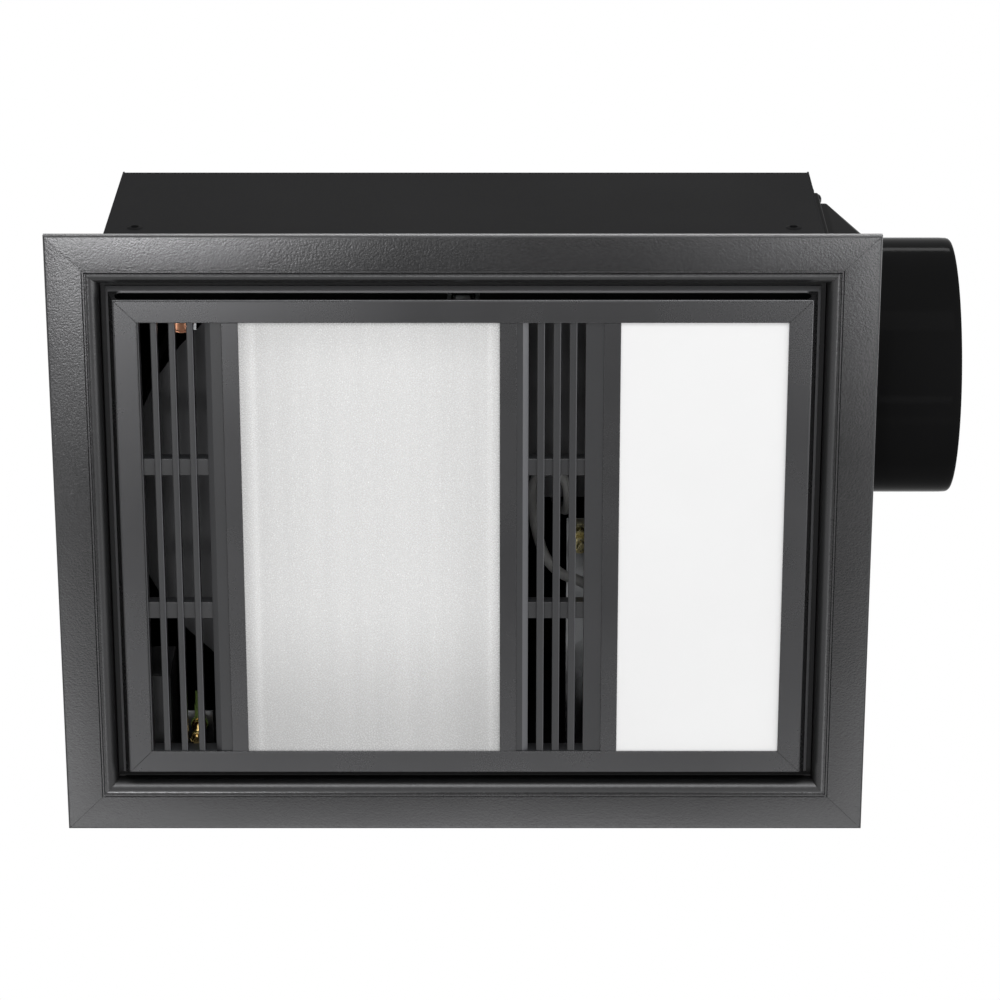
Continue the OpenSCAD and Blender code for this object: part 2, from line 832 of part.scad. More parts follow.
// Points of the scroll's inside line, grown outwards by grow
function scroll_line(grow) = concat(
    [for (a = [0:9:270]) let (r = tongue_r + spiral_grow * a / 270 + grow) [r * cos(a), r * sin(a)]],
    [[outlet_len, outlet_far - grow]]
);

// Plan of the scroll: spiral, straight outlet and the tongue between them
module scroll_plan(grow) {
    near = outlet_near + grow;
    polygon(concat(scroll_line(grow), [[outlet_len, near], [tongue_r - 6, near]]));
}

// Sheet floor of the scroll with the rolled lip of the inlet
module scroll_base() {
    color("dimgray")
        translate([-blower_x, blower_y, 0]) {
            difference() {
                translate([0, 0, scroll_z - scroll_t])
                    linear_extrude(scroll_t)
                        scroll_plan(scroll_flange);
                translate([0, 0, scroll_z - scroll_t - 1])
                    cylinder(r = inlet_r + lip_r, h = scroll_t + 2, $fn = 96);
                translate([outlet_len, outlet_far - scroll_flange - 1, scroll_z - scroll_t - 1])
                    cube([2 * scroll_flange, outlet_near - outlet_far + 2 * scroll_flange + 2, scroll_t + 2]);
            }
            rotate_extrude($fn = 96)
                intersection() {
                    translate([inlet_r + lip_r, scroll_z + lip_r - scroll_t])
                        difference() {
                            circle(lip_r);
                            circle(lip_r - scroll_t);
                        }
                    translate([inlet_r, scroll_z - scroll_t])
                        square([lip_r + eps, lip_r]);
                }
        }
}

// Spiral side wall of the scroll with its straight outlet
module scroll_wall() {
    color("gray")
        translate([-blower_x, blower_y, scroll_z])
            linear_extrude(scroll_h)
                difference() {
                    scroll_plan(scroll_t);
                    scroll_plan(0);
                    translate([outlet_len - scroll_t, outlet_far])
                        square([3 * scroll_t, outlet_near - outlet_far]);
                }
}

// Cover plate of the scroll, which carries the motor
module motor_plate() {
    color("gray")
        translate([-blower_x, blower_y, scroll_top])
            linear_extrude(scroll_t)
                difference() {
                    scroll_plan(scroll_flange);
                    circle(hub_r + 2);
                    for (a = [45:90:315])
                        rotate(a)
                            translate([motor_screw_r, 0])
                                circle(screw_r + screw_clear, $fn = 24);
                    for (p = standoff_at)
                        translate(p)
                            circle(screw_r + screw_clear, $fn = 24);
                }
}

// Flat motor with bearing seats at both ends and a rounded cap
module motor_can() {
    can_h = motor_top - motor_base;
    color("silver")
        translate([-blower_x, blower_y, motor_base])
            difference() {
                union() {
                    cylinder(r = motor_r, h = can_h * 0.55, $fn = 96);
                    translate([0, 0, can_h * 0.55 - eps])
                        cylinder(r1 = motor_r - 2, r2 = motor_r - 8, h = can_h * 0.45, $fn = 96);
                }
                translate([0, 0, -1])
                    cylinder(r = shaft_r + 1, h = can_h + 2);
                translate([0, 0, -1])
                    cylinder(r = bearing_r, h = bearing_h + 1);
                translate([0, 0, can_h - bearing_h])
                    cylinder(r = bearing_r, h = bearing_h + 1);
                for (a = [45:90:315])
                    rotate([0, 0, a])
                        translate([motor_screw_r, 0, -1])
                            cylinder(r = screw_r + screw_clear, h = 8, $fn = 24);
                for (a = [0:30:330])
                    rotate([0, 0, a])
                        translate([motor_r - 2.5, -3, 4])
                            cube([6, 6, can_h * 0.3]);
            }
}

module motor_bearings() {
    color("goldenrod")
        for (z = [motor_base, motor_top - bearing_h])
            translate([-blower_x, blower_y, z])
                difference() {
                    cylinder(r = bearing_r, h = bearing_h);
                    translate([0, 0, -1])
                        cylinder(r = shaft_r + shaft_clear, h = bearing_h + 2);
                }
}

module motor_shaft() {
    low = blade_top + back_t - hub_h - nut_h - 3;
    color("silver")
        translate([-blower_x, blower_y, low])
            cylinder(r = shaft_r, h = motor_top - 1 - low);
}

module hub_nut() {
    color("gold")
        translate([-blower_x, blower_y, blade_top + back_t - hub_h - nut_h])
            difference() {
                cylinder(r = 7.5, h = nut_h, $fn = 6);
                translate([0, 0, -1])
                    cylinder(r = shaft_r + 0.02, h = nut_h + 2);
            }
}

// Outline of one forward-curved blade, from the inner edge to the outer edge
function blade_line(side) = [
    for (i = [0:5])
        let (
            t = i / 5,
            r = impeller_r - blade_depth + (blade_depth - 0.4) * t,
            a = 7 * t * t + side * 28.65 * blade_t / r
        )
        [r * cos(a), r * sin(a)]
];

// Ends of the squirrel-cage wheel: back plate with the hub, and the front ring
module impeller() {
    color([0.3, 0.3, 0.32])
        translate([-blower_x, blower_y, 0]) {
            difference() {
                union() {
                    translate([0, 0, blade_top])
                        cylinder(r = impeller_r, h = back_t, $fn = 96);
                    translate([0, 0, blade_top + back_t - hub_h])
                        cylinder(r = hub_r, h = hub_h);
                }
                translate([0, 0, blade_top - hub_h - 1])
                    cylinder(r = shaft_r + 0.02, h = hub_h + 10);
            }
            translate([0, 0, blade_z])
                difference() {
                    cylinder(r = impeller_r, h = ring_h, $fn = 96);
                    translate([0, 0, -1])
                        cylinder(r = impeller_r - blade_depth + 2, h = ring_h + 2, $fn = 96);
                }
        }
}

// Forward-curved blades, held between the front ring and the back plate
module impeller_blades() {
    color([0.3, 0.3, 0.32])
        translate([-blower_x, blower_y, blade_z + ring_h])
            linear_extrude(blade_h - ring_h)
                for (i = [0:blade_count - 1])
                    rotate(i * 360 / blade_count)
                        polygon(concat(blade_line(-1), [for (j = [5:-1:0]) blade_line(1)[j]]));
}

module blower_standoffs() {
    color("silver")
        for (p = standoff_at)
            translate([p[0] - blower_x, p[1] + blower_y, motor_base])
                difference() {
                    cylinder(r = standoff_r, h = roof_z - motor_base, $fn = 6);
                    translate([0, 0, -1])
                        cylinder(r = screw_r + screw_clear, h = roof_z - motor_base + 2, $fn = 24);
                }
}

// Half section of the reflector's trough: grow moves the surface outwards
module trough_section(grow) {
    r = trough_h + grow;
    intersection() {
        union() {
            translate([heater_x0 + trough_h, heater_z])
                circle(r, $fn = 64);
            translate([heater_x1 - trough_h, heater_z])
                circle(r, $fn = 64);
            translate([heater_x0 + trough_h, heater_z])
                square([heater_x1 - heater_x0 - 2 * trough_h, r]);
        }
        translate([heater_x0 - grow - 1, heater_z])
            square([heater_x1 - heater_x0 + 2 * grow + 2, r + 1]);
    }
}

// Polished trough over the tubes, with flat rims along both sides
module heat_reflector() {
    color("silver")
        bar_y(reflector_len)
            difference() {
                union() {
                    trough_section(reflector_t);
                    translate([shield_x0 + shield_t, heater_z])
                        square([shield_x1 - shield_x0 - 2 * shield_t, reflector_t]);
                }
                trough_section(0);
                translate([heater_x0, heater_z - 1])
                    square([heater_x1 - heater_x0, 2]);
            }
}

// Places a child at each end cap of the tubes
module cap_places() {
    for (sx = [-1, 1], sy = [-1, 1])
        translate([glass_mid + sx * tube_pitch / 2, sy * cap_y, tube_z])
            scale([1, sy, 1])
                children();
}

// End plates of the trough, cut out round the ceramic caps
module reflector_ends() {
    color("silver")
        difference() {
            for (s = [-1, 1])
                translate([0, s * (reflector_len + reflector_t) / 2, 0])
                    bar_y(reflector_t)
                        trough_section(reflector_t);
            cap_places()
                translate([-cap_w / 2 - 0.2, 0, -cap_w / 2 - 0.2])
                    cube([cap_w + 0.4, 40, cap_w + 0.4]);
        }
}

// Folded cover over the reflector that keeps the heat off the blower
module heat_shield() {
    color([0.35, 0.36, 0.37])
        difference() {
            translate([shield_x0, -shield_hy, heater_z])
                cube([shield_x1 - shield_x0, 2 * shield_hy, shield_top - heater_z]);
            translate([shield_x0 + shield_t, -shield_hy + shield_t, heater_z - 1])
                cube([shield_x1 - shield_x0 - 2 * shield_t, 2 * (shield_hy - shield_t),
                    shield_top - shield_t - heater_z + 1]);
            for (s = [-1, 1], i = [-3:3])
                translate([glass_mid + s * vent_x - vent_len / 2, i * vent_pitch - 2, shield_top - 3])
                    cube([vent_len, 4, 6]);
        }
}

// Angle pieces that hang the heater between the front and rear walls
module heater_brackets() {
    color("gray")
        for (s = [-1, 1])
            scale([1, s, 1])
                translate([glass_mid - heater_bracket_w / 2, 0, heater_z + heater_bracket_up]) {
                    translate([0, shield_hy, 0])
                        cube([heater_bracket_w, in_hy - shield_hy, sheet_t]);
                    for (y = [shield_hy, in_hy - sheet_t])
                        translate([0, y, 0])
                            cube([heater_bracket_w, sheet_t, bracket_leg]);
                }
}

module quartz_tubes() {
    color([0.9, 0.9, 0.95, 0.5])
        for (s = [-1, 1])
            translate([glass_mid + s * tube_pitch / 2, 0, tube_z])
                rotate([90, 0, 0])
                    difference() {
                        cylinder(r = tube_r, h = 2 * (cap_y + 5), center = true);
                        cylinder(r = tube_r - tube_wall, h = 3 * cap_y, center = true);
                    }
}

module tube_end_caps() {
    color("white")
        cap_places()
            difference() {
                translate([-cap_w / 2, 0, -cap_w / 2])
                    cube([cap_w, cap_len, cap_w]);
                translate([0, -1, 0])
                    rotate([-90, 0, 0])
                        cylinder(r = tube_r + 0.05, h = 6.05);
                translate([0, 5, 0])
                    rotate([-90, 0, 0])
                        cylinder(r = wire_r + 0.05, h = 4);
                translate([-2, cap_len - 4, -cap_w])
                    cube([4, 8, 2 * cap_w]);
            }
}

module heating_wires() {
    color("sienna")
        for (s = [-1, 1])
            translate([glass_mid + s * tube_pitch / 2, 0, tube_z])
                rotate([90, 0, 0])
                    cylinder(r = wire_r, h = 2 * (cap_y + 9), center = true);
}

// A strip bracket on a wall: it reaches from the wall at y to tip_y at height z
module wall_strip(x, tip_y, z) {
    s = tip_y > 0 ? 1 : -1;
    scale([1, s, 1]) {
        translate([x - strip_w / 2, abs(tip_y) - strip_w / 2, z])
            cube([strip_w, in_hy - abs(tip_y) + strip_w / 2, sheet_t]);
        translate([x - strip_w / 2, in_hy - sheet_t, z])
            cube([strip_w, sheet_t, bracket_leg]);
    }
}

// Small strip brackets for the earth post, the heat cut-out and the bolt seen through the middle grille
module service_brackets() {
    color("gray")
        difference() {
            union() {
                wall_strip(earth_x, earth_y, earth_z);
                wall_strip(cutout_x, cutout_y, cutout_z);
                wall_strip(stud_x, stud_y, stud_z);
            }
            for (p = [[earth_x, earth_y, earth_z], [cutout_x, cutout_y, cutout_z]])
                translate(p)
                    cylinder(r = m4_r + stud_clear, h = 4 * sheet_t, center = true, $fn = 24);
            translate([stud_x, stud_y, stud_z])
                cylinder(r = m5_r + stud_clear, h = 4 * sheet_t, center = true, $fn = 24);
        }
}

// Brass earth post under its bracket
module earth_stud() {
    color("goldenrod")
        translate([earth_x, earth_y, earth_z]) {
            translate([0, 0, -stud_len])
                cylinder(r = m4_r + 0.8, h = stud_len - sheet_t);
            translate([0, 0, -sheet_t - 0.1])
                cylinder(r = m4_r, h = 5, $fn = 24);
            translate([0, 0, sheet_t])
                cylinder(r = m4_hex_r, h = 3, $fn = 6);
        }
}

// Ring tag clamped between the earth post and its bracket
module earth_tag() {
    color("yellowgreen")
        translate([earth_x, earth_y, earth_z - sheet_t])
            difference() {
                union() {
                    cylinder(r = m4_r + 3, h = sheet_t);
                    translate([-2.5, -13, 0])
                        cube([5, 12, sheet_t]);
                    translate([0, -12, 0.2])
                        rotate([90, 0, 0])
                            cylinder(r = 2.2, h = 9, $fn = 24);
                }
                translate([0, 0, -1])
                    cylinder(r = m4_r + 0.02, h = 3, $fn = 24);
                translate([-4, -30, sheet_t])
                    cube([8, 30, 4]);
            }
}

// Heat cut-out: flanged metal cap on its strip
module thermal_cutout() {
    color("peru")
        translate([cutout_x, cutout_y, cutout_z]) {
            translate([0, 0, -7])
                cylinder(r = 7.5, h = 7);
            translate([0, 0, -9])
                cylinder(r1 = 5.5, r2 = 6.5, h = 2 + eps);
            translate([0, 0, -eps])
                cylinder(r = m4_r, h = 4, $fn = 24);
        }
}

// Plated bolt with a washer and a nut, hanging from its strip
module bracket_bolt() {
    color("gold")
        translate([stud_x, stud_y, stud_z]) {
            translate([0, 0, -stud_len])
                cylinder(r = m5_r, h = stud_len + sheet_t + 4);
            for (span = [[sheet_t, 3.5], [-4, 4], [-22, 5]])
                translate([0, 0, span[0]])
                    cylinder(r = m5_hex_r, h = span[1], $fn = 6);
            translate([0, 0, -17])
                cylinder(r = 7, h = 1.2);
        }
}

// All the bent-strip brackets on the walls, inside the box
module wall_brackets() {
    heater_brackets();
    service_brackets();
    spring_brackets();
}

// Angle brackets with the slots that the panel's springs run through
module spring_brackets() {
    color("gray")
        for (s = [-1, 1])
            scale([1, s, 1])
                difference() {
                    union() {
                        translate([-spring_bracket_w / 2, spring_y - spring_bracket_in, bracket_z])
                            cube([spring_bracket_w, in_hy - spring_y + spring_bracket_in, saddle_t]);
                        translate([-spring_bracket_w / 2, in_hy - saddle_t, bracket_z])
                            cube([spring_bracket_w, saddle_t, bracket_leg + 6]);
                    }
                    translate([-spring_r - 2 * spring_wire_r, spring_y - 4.6, bracket_z - 1])
                        cube([2 * spring_r + 4 * spring_wire_r, 9.2, saddle_t + 2]);
                }
}

// Moulded box for the mains terminals, open below, on the left wall
module terminal_box() {
    color([0.85, 0.85, 0.82])
        difference() {
            translate([-in_hx, term_y - term_w / 2, term_z])
                cube([term_d, term_w, term_h]);
            translate([-in_hx + term_t, term_y - term_w / 2 + term_t, term_z - 1])
                cube([term_d - 2 * term_t, term_w - 2 * term_t, term_h - term_t + 1]);
            translate([-in_hx + 2 * term_t, term_y, cable_z])
                rotate([0, -90, 0])
                    cylinder(r = cable_r + grommet_t + term_t + 1, h = 8);
        }
}

module terminal_cover() {
    term_in = term_t + 0.3;
    color([0.85, 0.85, 0.82])
        difference() {
            union() {
                translate([-in_hx, term_y - term_w / 2, term_z - term_t])
                    cube([term_d, term_w, term_t]);
                translate([-in_hx + term_in, term_y - term_w / 2 + term_in, term_z - eps])
                    cube([term_d - 2 * term_in, term_w - 2 * term_in, term_lip]);
            }
            translate([-in_hx + 2 * term_t, term_y - term_w / 2 + 2 * term_t, term_z])
                cube([term_d - 4 * term_t, term_w - 4 * term_t, 2 * term_lip]);
        }
}

// Three-way terminal block with a round entry for each wire and each screw
module terminal_block() {
    color("white")
        difference() {
            union()
                for (i = [-1:1])
                    translate([way_x, term_y + (i - 0.5) * way_pitch, way_z])
                        cube([way_len, way_pitch + eps, way_h]);
            for (i = [-1:1]) {
                translate([way_x - 1, term_y + i * way_pitch, way_z + way_h - 6])
                    rotate([0, 90, 0])
                        cylinder(r = way_r, h = way_len + 2, $fn = 24);
                for (dx = way_screws)
                    translate([way_x + dx, term_y + i * way_pitch, way_z - 1])
                        cylinder(r = way_r + 0.1, h = 6, $fn = 24);
            }
        }
}

module terminal_screws() {
    color("goldenrod")
        for (i = [-1:1], dx = way_screws)
            translate([way_x + dx, term_y + i * way_pitch, way_z + 2])
                difference() {
                    cylinder(r = way_r + 0.08, h = 3, $fn = 24);
                    translate([-3, -0.3, -1])
                        cube([6, 0.6, 1.8]);
                }
}

// Rubber grommet round the cable hole: its groove holds the sheet
module cable_grommet() {
    color([0.08, 0.08, 0.08])
        translate([-out_hx, term_y, cable_z])
            rotate([0, 90, 0])
                difference() {
                    union() {
                        translate([0, 0, -grommet_lip])
                            cylinder(r = cable_r + grommet_t + grommet_lip, h = grommet_lip);
                        cylinder(r = cable_r + grommet_t, h = housing_t);
                        translate([0, 0, housing_t])
                            cylinder(r = cable_r + grommet_t + grommet_lip - 0.5, h = grommet_lip);
                    }
                    translate([0, 0, -5])
                        cylinder(r = cable_r, h = 20);
                }
}

// Round capacitor beside the motor, with its clip on the rear wall
module run_capacitor() {
    color("gainsboro")
        translate([capacitor_x, capacitor_y, capacitor_z]) {
            cylinder(r = capacitor_r, h = capacitor_len);
            translate([0, 0, -2])
                cylinder(r1 = capacitor_r - 2, r2 = capacitor_r, h = 2 + eps);
            for (dx = [-5, 5])
                translate([dx - 0.4, -3, -10])
                    cube([0.8, 6, 9]);
        }
}

module capacitor_clip() {
    color("silver")
        translate([capacitor_x, capacitor_y, capacitor_z + (capacitor_len - clip_h) / 2])
            difference() {
                union() {
                    cylinder(r = capacitor_r + 1, h = clip_h);
                    translate([-capacitor_r - clip_wing, in_hy - capacitor_y - 1, 0])
                        cube([2 * (capacitor_r + clip_wing), 1, clip_h]);
                    translate([-clip_wing / 2, capacitor_r - 2, 0])
                        cube([clip_wing, in_hy - capacitor_y - capacitor_r + 2, clip_h]);
                }
                translate([0, 0, -1])
                    cylinder(r = capacitor_r + 0.05, h = clip_h + 2);
                translate([-clip_wing / 2, -capacitor_r - 5, -1])
                    cube([clip_wing, 12, clip_h + 2]);
            }
}

// Sealed driver of the light on the right wall
module light_driver() {
    color([0.9, 0.9, 0.9])
        translate([in_hx - driver_d, driver_y, driver_z]) {
            cube([driver_d, driver_w, driver_h]);
            translate([driver_d - ear_t, -ear_w, 3])
                cube([ear_t, driver_w + 2 * ear_w, driver_h - 6]);
        }
}

// Frame of a tube ring at each point of a path
function path_step(path, i) =
    let (n = len(path), a = path[max(i - 1, 0)], b = path[min(i + 1, n - 1)], d = b - a)
    d / norm(d);

// Sides of a ring: first across the step, then across both
function ring_point(centre, along, r, angle) =
    let (
        ref = abs(along[1]) < 0.95 ? [0, 1, 0] : [1, 0, 0],
        u = cross(along, ref) / norm(cross(along, ref)),
        v = cross(along, u)
    )
    centre + r * (cos(angle) * u + sin(angle) * v);

// Round wire or lead along a path of points
module wire(path, r, sides) {
    n = len(path);
    points = [
        for (i = [0:n - 1], k = [0:sides - 1])
            ring_point(path[i], path_step(path, i), r, 360 * k / sides)
    ];
    faces = concat(
        [[for (k = [0:sides - 1]) k]],
        [[for (k = [sides - 1:-1:0]) (n - 1) * sides + k]],
        [
            for (i = [0:n - 2], k = [0:sides - 1], h = [0, 1])
                let (a = i * sides + k, b = i * sides + (k + 1) % sides)
                h == 0 ? [a, a + sides, b] : [b, a + sides, b + sides]
        ]
    );
    polyhedron(points, faces, convexity = 6);
}

// Light-grey lead that loops from the driver down past the middle grille and up to the motor
module inner_lead() {
    color("lightgray")
        wire(lead_route, lead_r, wire_sides);
}

// Path of one spring: hook, leg, coil, leg, hook, drawn in its own XZ plane with the coil along Y
function spring_path(turns) =
    let (
        leg = hook_z - coil_z,
        side = spring_turns * coil_pitch / 2,
        steps = turns * 12
    )
    concat(
        [[-spring_r - 6, -side, leg], [-spring_r - 1.5, -side, leg], [-spring_r, -side, leg - 1.5]],
        [[-spring_r, -side, leg / 2]],
        [
            for (i = [0:steps])
                let (a = 180 + 360 * i / 12)
                [spring_r * cos(a), -side + 2 * side * i / steps, spring_r * sin(a)]
        ],
        [[spring_r, side, leg / 2]],
        [[spring_r, side, leg - 1.5], [spring_r + 1.5, side, leg], [spring_r + 6, side, leg]]
    );

// Least clear gap between points of a path that lie at least apart steps from each other
function least_gap(path, r, apart) =
    min([for (i = [0:len(path) - 1 - apart], j = [i + apart:len(path) - 1]) norm(path[i] - path[j])]) - 2 * r;

// Two torsion springs that carry the panel
module panel_springs() {
    path = spring_path(spring_turns);
    echo(least_gap_in_spring = least_gap(path, spring_wire_r, 9));
    color("silver")
        for (s = [-1, 1])
            translate([0, s * spring_y, coil_z])
                wire(path, spring_wire_r, wire_sides);
}

// U-shaped saddles on the panel's rails, with the pins that hold the springs' coils
module spring_saddles() {
    width = spring_turns * coil_pitch + 2 * spring_wire_r + 0.6;
    color("gray")
        for (s = [-1, 1])
            translate([0, s * spring_y, 0]) {
                translate([-saddle_w / 2, -width / 2 - saddle_t, back_z])
                    cube([saddle_w, width + 2 * saddle_t, saddle_t]);
                for (t = [-1, 1])
                    translate([-saddle_w / 2, t * (width + saddle_t) / 2 - saddle_t / 2, back_z])
                        cube([saddle_w, saddle_t, coil_z - back_z + 3]);
                translate([0, 0, coil_z])
                    rotate([90, 0, 0])
                        cylinder(r = spring_r - spring_wire_r - 0.3, h = width + eps, center = true);
            }
}

// Cross section of a panel rail whose skirt's foot lies at half
module panel_profile(half) {
    top = half - skirt_flare;
    translate([top - face_w, face_z])
        square([face_w, rail_t]);
    polygon([[top - rail_t, face_z], [top, face_z], [half, foot_z], [half - rail_t, foot_z]]);
}

// One mitred panel rail, with the long air slot where it is asked for
module panel_rail(turn, half, other, slotted) {
    color([0.25, 0.25, 0.26])
        rotate([0, 0, turn])
            difference() {
                mitred(half, other, face_w + skirt_flare + 10, face_z - 1, foot_z + 1)
                    bar_y(2 * other)
                        panel_profile(half);
                if (slotted)
                    translate([half - skirt_flare - 3, 0, back_z + slot_h / 2])
                        rotate([90, 0, 90])
                            linear_extrude(skirt_flare + 6)
                                union() {
                                    run = other - skirt_flare - slot_inset + skirt_flare / 2;
                                    square([2 * run - slot_h, slot_h], center = true);
                                    for (t = [-1, 1])
                                        translate([t * (run - slot_h / 2), 0])
                                            circle(slot_h / 2);
                                }
            }
}

module panel_rail_right() {
    panel_rail(0, foot_hx, foot_hy, false);
}

module panel_rail_left() {
    panel_rail(180, foot_hx, foot_hy, false);
}

module panel_rail_rear() {
    panel_rail(90, foot_hy, foot_hx, true);
}

module panel_rail_front() {
    panel_rail(270, foot_hy, foot_hx, true);
}

// L keys behind the panel's face rails
module panel_corner_keys() {
    kx = open_hx + tuck + 1 + panel_key_w;
    ky = open_hy + tuck + 1 + panel_key_w;
    color("gray")
        for (sx = [-1, 1], sy = [-1, 1])
            scale([sx, sy, 1])
                translate([0, 0, back_z])
                    linear_extrude(1)
                        difference() {
                            translate([kx - panel_key_leg, ky - panel_key_leg])
                                square(panel_key_leg);
                            translate([kx - panel_key_leg - 1, ky - panel_key_leg - 1])
                                square(panel_key_leg + 1 - panel_key_w);
                        }
}

// A mullion: face strip, web, and ledges behind the glass where one meets it
module mullion(x0, foot_left, foot_right) {
    web_x = x0 + web_in;
    color([0.24, 0.24, 0.25]) {
        translate([x0, -open_hy + 0.2, back_z - strip_t])
            cube([mullion_w, 2 * open_hy - 0.4, strip_t]);
        translate([web_x, -tuck_hy, back_z])
            cube([web_w, 2 * tuck_hy, foot_z - back_z]);
        if (foot_left)
            translate([web_x - glass_foot_w, -tuck_hy, glass_back])
                cube([glass_foot_w + eps, 2 * tuck_hy, glass_foot_t]);
        if (foot_right)
            translate([web_x + web_w - eps, -tuck_hy, glass_back])
                cube([glass_foot_w + eps, 2 * tuck_hy, glass_foot_t]);
    }
}

module mullion_left() {
    mullion(mull_1, false, true);
}

module mullion_middle() {
    mullion(mull_2, true, false);
}

module mullion_right() {
    mullion(mull_3, false, false);
}

// A slatted insert from x0 to x1: its first gap starts at first
module grille(x0, x1, first, gap_w, slat_w, slope_left) {
    pitch = gap_w + slat_w;
    last = first + grille_gaps * pitch - slat_w;
    depth = foot_z - back_z;
    bar_in = cross_y - cross_w / 2;
    bar_out = cross_y + cross_w / 2;
    color([0.28, 0.28, 0.29])
        difference() {
            translate([x0, -tuck_hy, back_z])
                cube([x1 - x0, 2 * tuck_hy, depth]);
            for (i = [0:grille_gaps - 1]) {
                translate([first + i * pitch, -open_hy, back_z - 1])
                    cube([gap_w, 2 * open_hy, cross_back + 1]);
                for (span = [[-open_hy, -bar_out], [-bar_in, bar_in], [bar_out, open_hy]])
                    translate([first + i * pitch, span[0], back_z - 1])
                        cube([gap_w, span[1] - span[0], depth + 2]);
            }
            bar_y(2 * open_hy)
                polygon(slope_left
                    ? [[first - slope_w, back_z], [first + eps, back_z + slope_d], [first + eps, back_z - 1],
                        [first - slope_w, back_z - 1]]
                    : [[last + slope_w, back_z], [last - eps, back_z + slope_d], [last - eps, back_z - 1],
                        [last + slope_w, back_z - 1]]);
        }
}

module grille_left() {
    grille(-tuck_hx, mull_1 + web_in - pane_gap, -open_hx + left_lead, left_gap_w, left_slat_w, false);
}

module grille_middle() {
    x0 = mull_2 + mullion_w;
    grille(x0 - web_in + pane_gap, mull_3 + web_in - pane_gap, x0 + mid_lead, mid_gap_w, mid_slat_w, true);
}

module heat_glass() {
    color([0.86, 0.88, 0.88, 0.8])
        translate([glass_x0, -tuck_hy, back_z])
            cube([glass_x1 - glass_x0, 2 * tuck_hy, glass_t]);
}

module light_diffuser() {
    color("white")
        translate([diffuser_x0, -tuck_hy, back_z])
            cube([tuck_hx - diffuser_x0, 2 * tuck_hy, diffuser_t]);
}

// Tray of the light: rim on the diffuser, sloping sides and a flat back
module light_tray() {
    color("gainsboro")
        difference() {
            union() {
                translate([diffuser_x0, -tuck_hy, diffuser_back])
                    cube([tuck_hx - diffuser_x0, 2 * tuck_hy, tray_t]);
                translate([diffuser_x0 + tray_rim - tray_t, -tuck_hy + tray_rim - tray_t, diffuser_back])
                    cube([tuck_hx - diffuser_x0 - 2 * (tray_rim - tray_t),
                        2 * (tuck_hy - tray_rim + tray_t), tray_h]);
            }
            translate([diffuser_x0 + tray_rim, -tuck_hy + tray_rim, diffuser_back - 1])
                cube([tuck_hx - diffuser_x0 - 2 * tray_rim, 2 * (tuck_hy - tray_rim), tray_h - tray_t + 1]);
        }
}

module light_board() {
    color("white")
        translate([board_x0, -board_hy, board_z])
            cube([board_x1 - board_x0, 2 * board_hy, board_t]);
}

module light_chips() {
    pitch_x = (board_x1 - board_x0) / chip_cols;
    pitch_y = 2 * board_hy / chip_rows;
    color("khaki")
        for (i = [0:chip_cols - 1], j = [0:chip_rows - 1])
            translate([
                board_x0 + (i + 0.5) * pitch_x - chip_w / 2,
                -board_hy + (j + 0.5) * pitch_y - chip_w / 2,
                board_z - chip_h
            ])
                cube([chip_w, chip_w, chip_h]);
}

housing_wrap();
housing_ends();
housing_tabs();
housing_rim();
fascia_rail_front();
fascia_rail_rear();
fascia_rail_left();
fascia_rail_right();
fascia_corner_keys();
duct_adaptor();
pan_screws();
scroll_base();
scroll_wall();
motor_plate();
motor_can();
motor_bearings();
blower_standoffs();
heat_reflector();
reflector_ends();
heat_shield();
quartz_tubes();
tube_end_caps();
heating_wires();
thermal_cutout();
wall_brackets();
terminal_box();
terminal_cover();
terminal_block();
terminal_screws();
cable_grommet();
earth_stud();
earth_tag();
bracket_bolt();
run_capacitor();
capacitor_clip();
light_driver();
inner_lead();
panel_rail_front();
panel_rail_rear();
panel_rail_left();
panel_rail_right();
panel_corner_keys();
mullion_left();
mullion_middle();
mullion_right();
grille_left();
grille_middle();
heat_glass();
light_diffuser();
light_tray();
light_board();
light_chips();
panel_springs();
spring_saddles();
impeller();
impeller_blades();
motor_shaft();
hub_nut();
backdraft_flap();
flap_pin();
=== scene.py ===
"""Looks of a ceiling heater, light and exhaust fan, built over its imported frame.

Sizes in the classes are in millimetres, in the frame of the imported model: +Z up into the roof
space, +X towards the duct collar, the front panel facing -Z. Meshes are written in metres.
"""

import json
import logging
import math
from dataclasses import dataclass
from enum import Enum, StrEnum, auto
from functools import cache
from typing import Any, Optional, Sequence

import bmesh
import bpy
from bpy.types import Material, Mesh, Node, NodeSocket, NodeTree
from mathutils import Matrix, Vector

